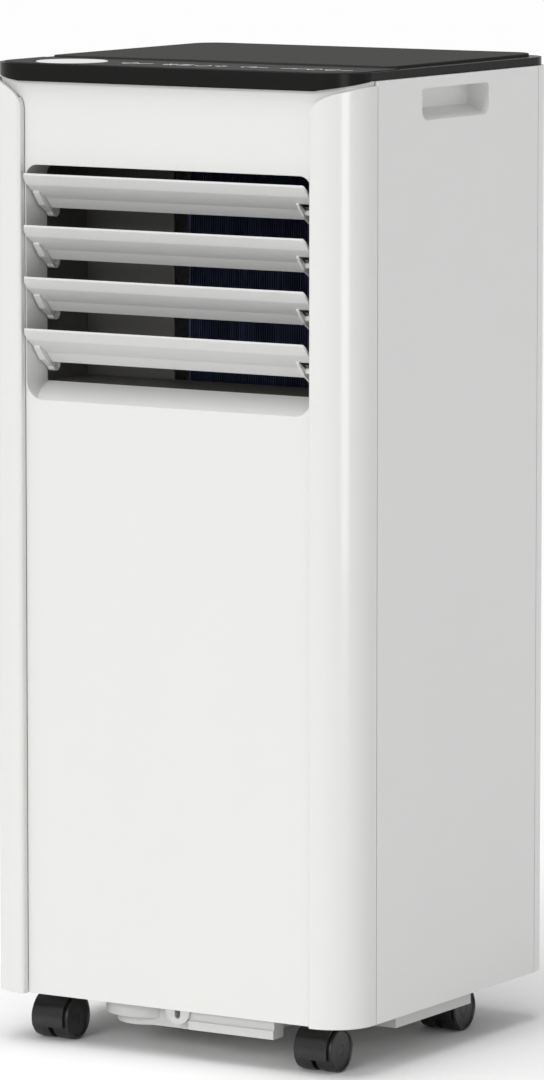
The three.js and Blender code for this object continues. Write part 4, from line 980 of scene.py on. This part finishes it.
@dataclass
class Casters:
    """Four twin-wheel casters with barrel hoods."""

    spots: tuple[tuple[str, float, float], ...] = (
        ("front_left", -106, -108),
        ("front_right", 106, -108),
        ("rear_left", -106, 58),
        ("rear_right", 106, 58),
    )
    radius: float = 15
    hood: float = 17.6
    hood_wall: float = 1.8
    hood_half: float = 12.5
    skirt: float = 9.5
    near: float = 1.7
    web: float = 1.2
    far: float = 15
    trail: float = 8
    axle: float = 1.98
    axle_bore: float = 2
    wheel_bore: float = 2.2
    kingpin: tuple[Point, ...] = ((0, 30.8), (6, 30.8), (6, 35), (4, 35), (4, 49), (0, 49))

    def hood_blank(self) -> Blank:
        """Barrel, web, collar and kingpin about an axle at the origin's height."""
        z, inner = self.radius, self.hood - self.hood_wall
        barrel = Blank.slab("hood", Axis.X, circle(0, z, self.hood, 72), -self.hood_half, self.hood_half)
        barrel.cut(
            Blank.slab("hollow", Axis.X, circle(0, z, inner, 72), -20, 20),
            Blank.box("below", (-40, 40), (-40, 40), (-40, self.skirt)),
        )
        web = Blank.slab("web", Axis.X, circle(0, z, inner + 0.9, 48), -self.web, self.web)
        web.cut(Blank.box("foot", (-40, 40), (-40, 40), (-40, z - 4)))
        collar = Blank.turned("collar", Axis.Z, self.kingpin, (0, self.trail, 0), 32)
        neck = Blank.box("neck", (-self.web, self.web), (self.trail - 5, self.trail + 5), (z + 4, 35))
        bore = Blank.slab("bore", Axis.X, circle(0, z, self.axle_bore, 20), -40, 40)
        barrel.fuse(web, neck, collar).cut(bore)
        return barrel.ease(0.4)

    def wheel_blank(self) -> Blank:
        """Wheel on the right of the web: rounded tread, raised rim and a dished face with a hub."""
        r, near, far, bore = self.radius, self.near, self.far, self.wheel_bore
        tread = [(bore, near), (r - 0.5, near), (r - 0.1, near + 0.4), (r, near + 1.2), (r, far - 1.4)]
        rim = [(r - 0.25, far - 0.6), (r - 0.9, far - 0.1), (r - 1.3, far), (r - 1.9, far - 0.05)]
        dish = [(r - 2.3, far - 0.4), (r - 2.6, far - 1.0), (6.5, far - 1.1), (6.0, far - 0.9)]
        hub = [(4.2, far - 0.8), (3.8, far - 1.1), (0, far - 1.1), (0, far - 2.1), (bore, far - 2.1)]
        profile = [*tread, *rim, *dish, *hub]
        return Blank.turned("wheel", Axis.X, profile, (0, 0, r), 72)

    def axle_blank(self) -> Blank:
        """Axle with eased ends."""
        r, end = self.axle, self.far - 2.3
        profile = [(0, -end), (r - 0.3, -end), (r, 0.3 - end), (r, end - 0.3), (r - 0.3, end), (0, end)]
        return Blank.turned("axle", Axis.X, profile, (0, 0, self.radius), 24)

    def build(self) -> None:
        """Models one caster and copies it to the four corners."""
        hood, wheel, axle = self.hood_blank(), self.wheel_blank(), self.axle_blank()
        rows = (
            (hood, "hood", "caster", "caster_black", HOOD, "hood"),
            (axle, "axle", "caster", "axle_steel", ZINC, "axle"),
            (wheel, "tyre_right", "wheel_right", "wheel_black", TYRE, "wheel_right"),
            (wheel.mirrored("wheel_left"), "tyre_left", "wheel_left", "wheel_black", TYRE, "wheel_left"),
        )
        for name, x, y in self.spots:
            for blank, piece, body, slot, finish, node in rows:
                copy = blank.copy(f"{name}_{piece}", (x, y, 0))
                copy.place(f"{name}_{body}", slot, finish, f"{name}_caster_{node}")
        for blank, *_ in rows:
            bpy.data.objects.remove(blank.obj)


@dataclass
class Coil:
    """Evaporator behind the right half of the outlet, with its separate fins."""

    x: Point = (-33, 129)
    y: Point = (-56.2, -26.2)
    z: Point = (399.4, 651.8)
    pitch: float = 1.8
    fin: float = 0.35
    plate: float = 1.5
    tube: float = 3.5
    tube_pitch: float = 22
    tube_start: float = 16
    tube_count: int = 11

    def build(self) -> None:
        """Builds the end plates, the row of fins and the tubes through them."""
        (x0, x1), (y0, y1), (z0, z1) = self.x, self.y, self.z
        fins = Blank.box("evaporator_fins", (x0 + 2, x0 + 2 + self.fin), (y0 + 1, y1 - 1), (z0 + 2, z1 - 2))
        fins.repeat(int((x1 - x0 - 4) / self.pitch), (self.pitch, 0, 0))
        section = circle((y0 + y1) / 2, z0 + self.tube_start, self.tube, 16)
        tubes = Blank.slab("tubes", Axis.X, section, x0 + 1, x1 - 1)
        tubes.repeat(self.tube_count, (0, 0, self.tube_pitch))
        plates = Blank.box("plates", (x0, x0 + self.plate), self.y, self.z)
        fins.add(tubes, plates.repeat(2, (x1 - x0 - self.plate, 0, 0)))
        fins.place("root", "fin_blue", BLUE_FINS, "evaporator_coil")


@dataclass
class Rear:
    """Fittings on the back: filter doors and their nets, exhaust collar, gland, plugs and screws."""

    door_half: float = 101
    doors: tuple[tuple[str, float, float], ...] = (("upper", 403.4, 628), ("lower", 75, 240.4))
    border: float = 5
    net_y: float = 130.6
    net_pitch: float = 3.0
    thread: float = 0.5
    collar_z: float = 322.4
    collar_radius: float = 65
    collar_wall: float = 2.5
    collar_y: Point = (88.3, 143.8)

    def nets(self) -> None:
        """Builds the filter doors and the crossing threads of the nets behind them."""
        for name, low, high in self.doors:
            door = Blank.of_node(f"{name}_door", f"{name}_filter_door").ease(0.5)
            door.place(f"{name}_filter", "side_white", SIDE, f"{name}_filter_door")
            half, y, thread = self.door_half - self.border, self.net_y, self.thread
            low, high = low + self.border, high - self.border
            upright = Blank.box(f"{name}_net", (-half, -half + thread), (y, y + thread), (low, high))
            upright.repeat(int((2 * half - thread) / self.net_pitch) + 1, (self.net_pitch, 0, 0))
            level = Blank.box("threads", (-half, half), (y - 0.4, y + 0.1), (low, low + thread))
            level.repeat(int((high - low - thread) / self.net_pitch) + 1, (0, 0, self.net_pitch))
            upright.add(level)
            upright.place(f"{name}_filter", "filter_mesh", THREADS, f"{name}_filter_mesh")

    def collar(self) -> None:
        """Builds the round hose collar with its flange and bayonet ribs."""
        r, bore, z = self.collar_radius, self.collar_radius - self.collar_wall, self.collar_z
        start, end = self.collar_y
        flange = [(r, 134.3), (r + 6.4, 134.3), (r + 7, 134.9), (r + 7, 136.4), (r + 6.4, 137), (r + 1, 137)]
        lip = [(r, 138), (r, end - 0.6), (r - 0.6, end), (bore + 0.6, end), (bore, end - 0.6)]
        profile = [(bore, start), (r, start), *flange, *lip]
        collar = Blank.turned("hose_collar", Axis.Y, profile, (0, 0, z), 128)
        for turn in (0, 120, 240):
            rib = Blank.box("rib", (-6, 6), (end - 3, end), (z - r - 2, z - bore - 1))
            collar.fuse(rib.turn(turn, "Y", (0, 0, z)))
        collar.place("root", "casing_white", CASING, "exhaust_collar")

    def small(self) -> None:
        """Finishes the gland, the plugs and the screws."""
        rubber, steel = ("rubber_black", RUBBER), ("axle_steel", ZINC)
        rows = (
            ("gland_ring", "cord_gland", "root", rubber),
            ("upper_bung", "upper_drain_plug", "upper_drain_plug", rubber),
            ("lower_bung", "lower_drain_plug", "lower_drain_plug", rubber),
            ("screw_left", "rear_screw_left", "root", steel),
            ("screw_right", "rear_screw_right", "root", steel),
        )
        for name, node, body, dress in rows:
            Blank.of_node(name, node).ease(0.25).place(body, *dress, node)

    def build(self) -> None:
        """Builds everything on the back."""
        self.nets()
        self.collar()
        self.small()


@dataclass
class Underside:
    """Base tray with its stepped round dish, its beam and its drain lug."""

    front: float = -131
    deck: float = 35
    bottom: float = 20
    dish: Point = (-40, -93)
    tiers: tuple[Point, ...] = ((32, 24), (24, 17.5))  # radius and lowest point
    run: Point = (4, 18.5)  # width and lowest point
    lug_x: float = 6
    lug_radius: float = 9.5
    lug_bottom: float = 25
    mouth: Point = (2.2, 6)  # radius, and height of its centre
    beam: Point = (14, 81.5)
    beam_z: Point = (22, 28)
    set_back: tuple[Point, Point] = ((-80, -6), (-136, -48))
    old_lug: tuple[Point, Point] = ((-7, 19), (-136, -124.5))

    def build(self) -> None:
        """Cuts back the left of the front edge, hangs the dish there and rounds the lug."""
        tray = Blank.of_node("base_tray_part", "base_tray")
        (x, y), lug, front, top = self.dish, self.lug_x, self.front, self.deck + 1
        for place in (self.set_back, self.old_lug):
            tray.cut(Blank.box("cutter", *place, (self.bottom - 6, self.deck)))
        for radius, low in self.tiers:
            tray.fuse(Blank.slab("tier", Axis.Z, circle(x, y, radius, 64), low, top))
        edge, (width, low) = y - self.tiers[-1][0], self.run
        tray.fuse(
            Blank.box("run", (x, lug + 2), (edge, edge + width), (low, top)),
            Blank.box("beam", self.beam, (front - 0.3, front + 12), (self.beam_z[0], top)),
            Blank.box("ledge", self.beam, (front - 1.5, front + 1), self.beam_z),
        )
        r, low, (bore, rise) = self.lug_radius, self.lug_bottom, self.mouth
        outline = [(lug + r, top), *arc(lug, low + r, r, r, 0, -180, 24), (lug - r, top)]
        mouth = [(lug + bore, top + 1), *arc(lug, low + rise, bore, bore, 0, -180, 12), (lug - bore, top + 1)]
        tray.fuse(Blank.slab("lug", Axis.Y, outline, front - 3, front + 7))
        tray.cut(Blank.slab("mouth", Axis.Y, mouth, front - 4, front + 4))
        tray.ease(0.4).place("root", "tray_grey", TRAY, "base_tray")


@dataclass
class Inside:
    """Parts inside the cabinet and under it, finished from welded copies with eased edges."""

    ease: float = 0.4
    rows: tuple[tuple[str, str, str, Finish], ...] = (
        ("outlet_duct", "root", "duct_black", DUCT),
        ("duct_baffle", "root", "duct_black", BAFFLE),
        ("upper_blower_housing", "root", "housing_white", FOAM),
        ("upper_blower_wheel", "upper_blower", "blower_black", BLOWER),
        ("upper_fan_motor", "root", "motor_steel", ZINC),
        ("deck", "root", "housing_white", FOAM),
        ("condenser_coil", "root", "fin_bare", BARE_FINS),
        ("lower_blower_housing", "root", "housing_white", FOAM),
        ("lower_blower_wheel", "lower_blower", "blower_black", BLOWER),
        ("lower_fan_motor", "root", "motor_steel", ZINC),
        ("compressor", "root", "compressor_black", ENAMEL),
        ("accumulator", "root", "compressor_black", ENAMEL),
        ("suction_pipe", "root", "copper", COPPER),
        ("discharge_pipe", "root", "copper", COPPER),
        ("control_box", "root", "compressor_black", ENAMEL),
        ("display_board", "root", "board_green", BOARD),
    )

    def build(self) -> None:
        """Finishes each part."""
        for node, body, slot, finish in self.rows:
            Blank.of_node(f"{node}_part", node).ease(self.ease).place(body, slot, finish, node)


# --- Studio ---
@dataclass
class Studio:
    """Pale floor, soft light and the camera."""

    camera: Triple = (2376.9, -3860.8, 920.7)
    azimuth: float = 31.63
    pitch: float = 7.28
    focal: float = 6620
    frame_height: float = 1080
    floor_size: float = 160
    sky: float = 0.55
    suns: tuple[tuple[float, float, Triple], ...] = (
        (1.35, 50, (0.10, 0.26, -1)),
        (1.0, 20, (0.05, 1, -0.39)),
    )  # strength, spread in degrees and aim
    strip_power: float = 26
    strip_size: Point = (0.9, 2.6)
    strip_place: Triple = (2.3, -1.5, 0.6)
    strip_aim: Triple = (0, 0, 0.35)

    def stage(self) -> None:
        """Lays the floor."""
        Blank.clear()
        bpy.ops.mesh.primitive_plane_add(size=self.floor_size, location=(0, 0, -0.0002))
        floor = bpy.context.object
        floor.name = "floor"
        floor.data.materials.append(FLOOR.material())

    def light(self) -> None:
        """Sets an even sky, a broad high sun, a low one in front and a tall strip for the pillars' gloss."""
        world = bpy.context.scene.world or bpy.data.worlds.new("sky")
        bpy.context.scene.world = world
        world.use_nodes = True
        ground = world.node_tree.nodes["Background"]
        ground.inputs["Color"].default_value = (1, 1, 1, 1)
        ground.inputs["Strength"].default_value = self.sky
        for energy, spread, aim in self.suns:
            bpy.ops.object.light_add(type="SUN", location=(0, 0, 3))
            sun = bpy.context.object
            sun.data.energy = energy
            sun.data.angle = math.radians(spread)
            sun.rotation_euler = Vector(aim).to_track_quat("-Z", "Y").to_euler()
        bpy.ops.object.light_add(type="AREA", location=self.strip_place)
        strip = bpy.context.object
        strip.data.shape = "RECTANGLE"
        strip.data.size, strip.data.size_y = self.strip_size
        strip.data.energy = self.strip_power
        strip.visible_diffuse = False
        strip.rotation_euler = (Vector(self.strip_aim) - strip.location).to_track_quat("-Z", "Y").to_euler()

    def shoot(self) -> None:
        """Sets the camera at its place, turned to the object and pitched a little down."""
        data = bpy.data.cameras.new("camera")
        camera = bpy.data.objects.new("camera", data)
        bpy.context.scene.collection.objects.link(camera)
        camera.location = Vector(self.camera) * MM
        turn, pitch = math.radians(self.azimuth), math.radians(self.pitch)
        aim = Vector((-math.sin(turn) * math.cos(pitch), math.cos(turn) * math.cos(pitch), -math.sin(pitch)))
        camera.rotation_euler = aim.to_track_quat("-Z", "Y").to_euler()
        data.lens = self.focal / self.frame_height * data.sensor_width
        bpy.context.scene.camera = camera
        bpy.context.scene.view_settings.view_transform = "Standard"

    def build(self) -> None:
        """Sets up the studio."""
        self.shoot()
        self.stage()
        self.light()


def main() -> None:
    """Builds every sub-assembly."""
    logging.basicConfig(level=logging.INFO, format="%(name)s: %(message)s")
    assemblies = (Studio, Cabinet, TopDeck, Louvres, Casters, Coil, Rear, Underside, Inside)
    for assembly in assemblies:
        assembly().build()


if __name__ == "__main__":
    main()
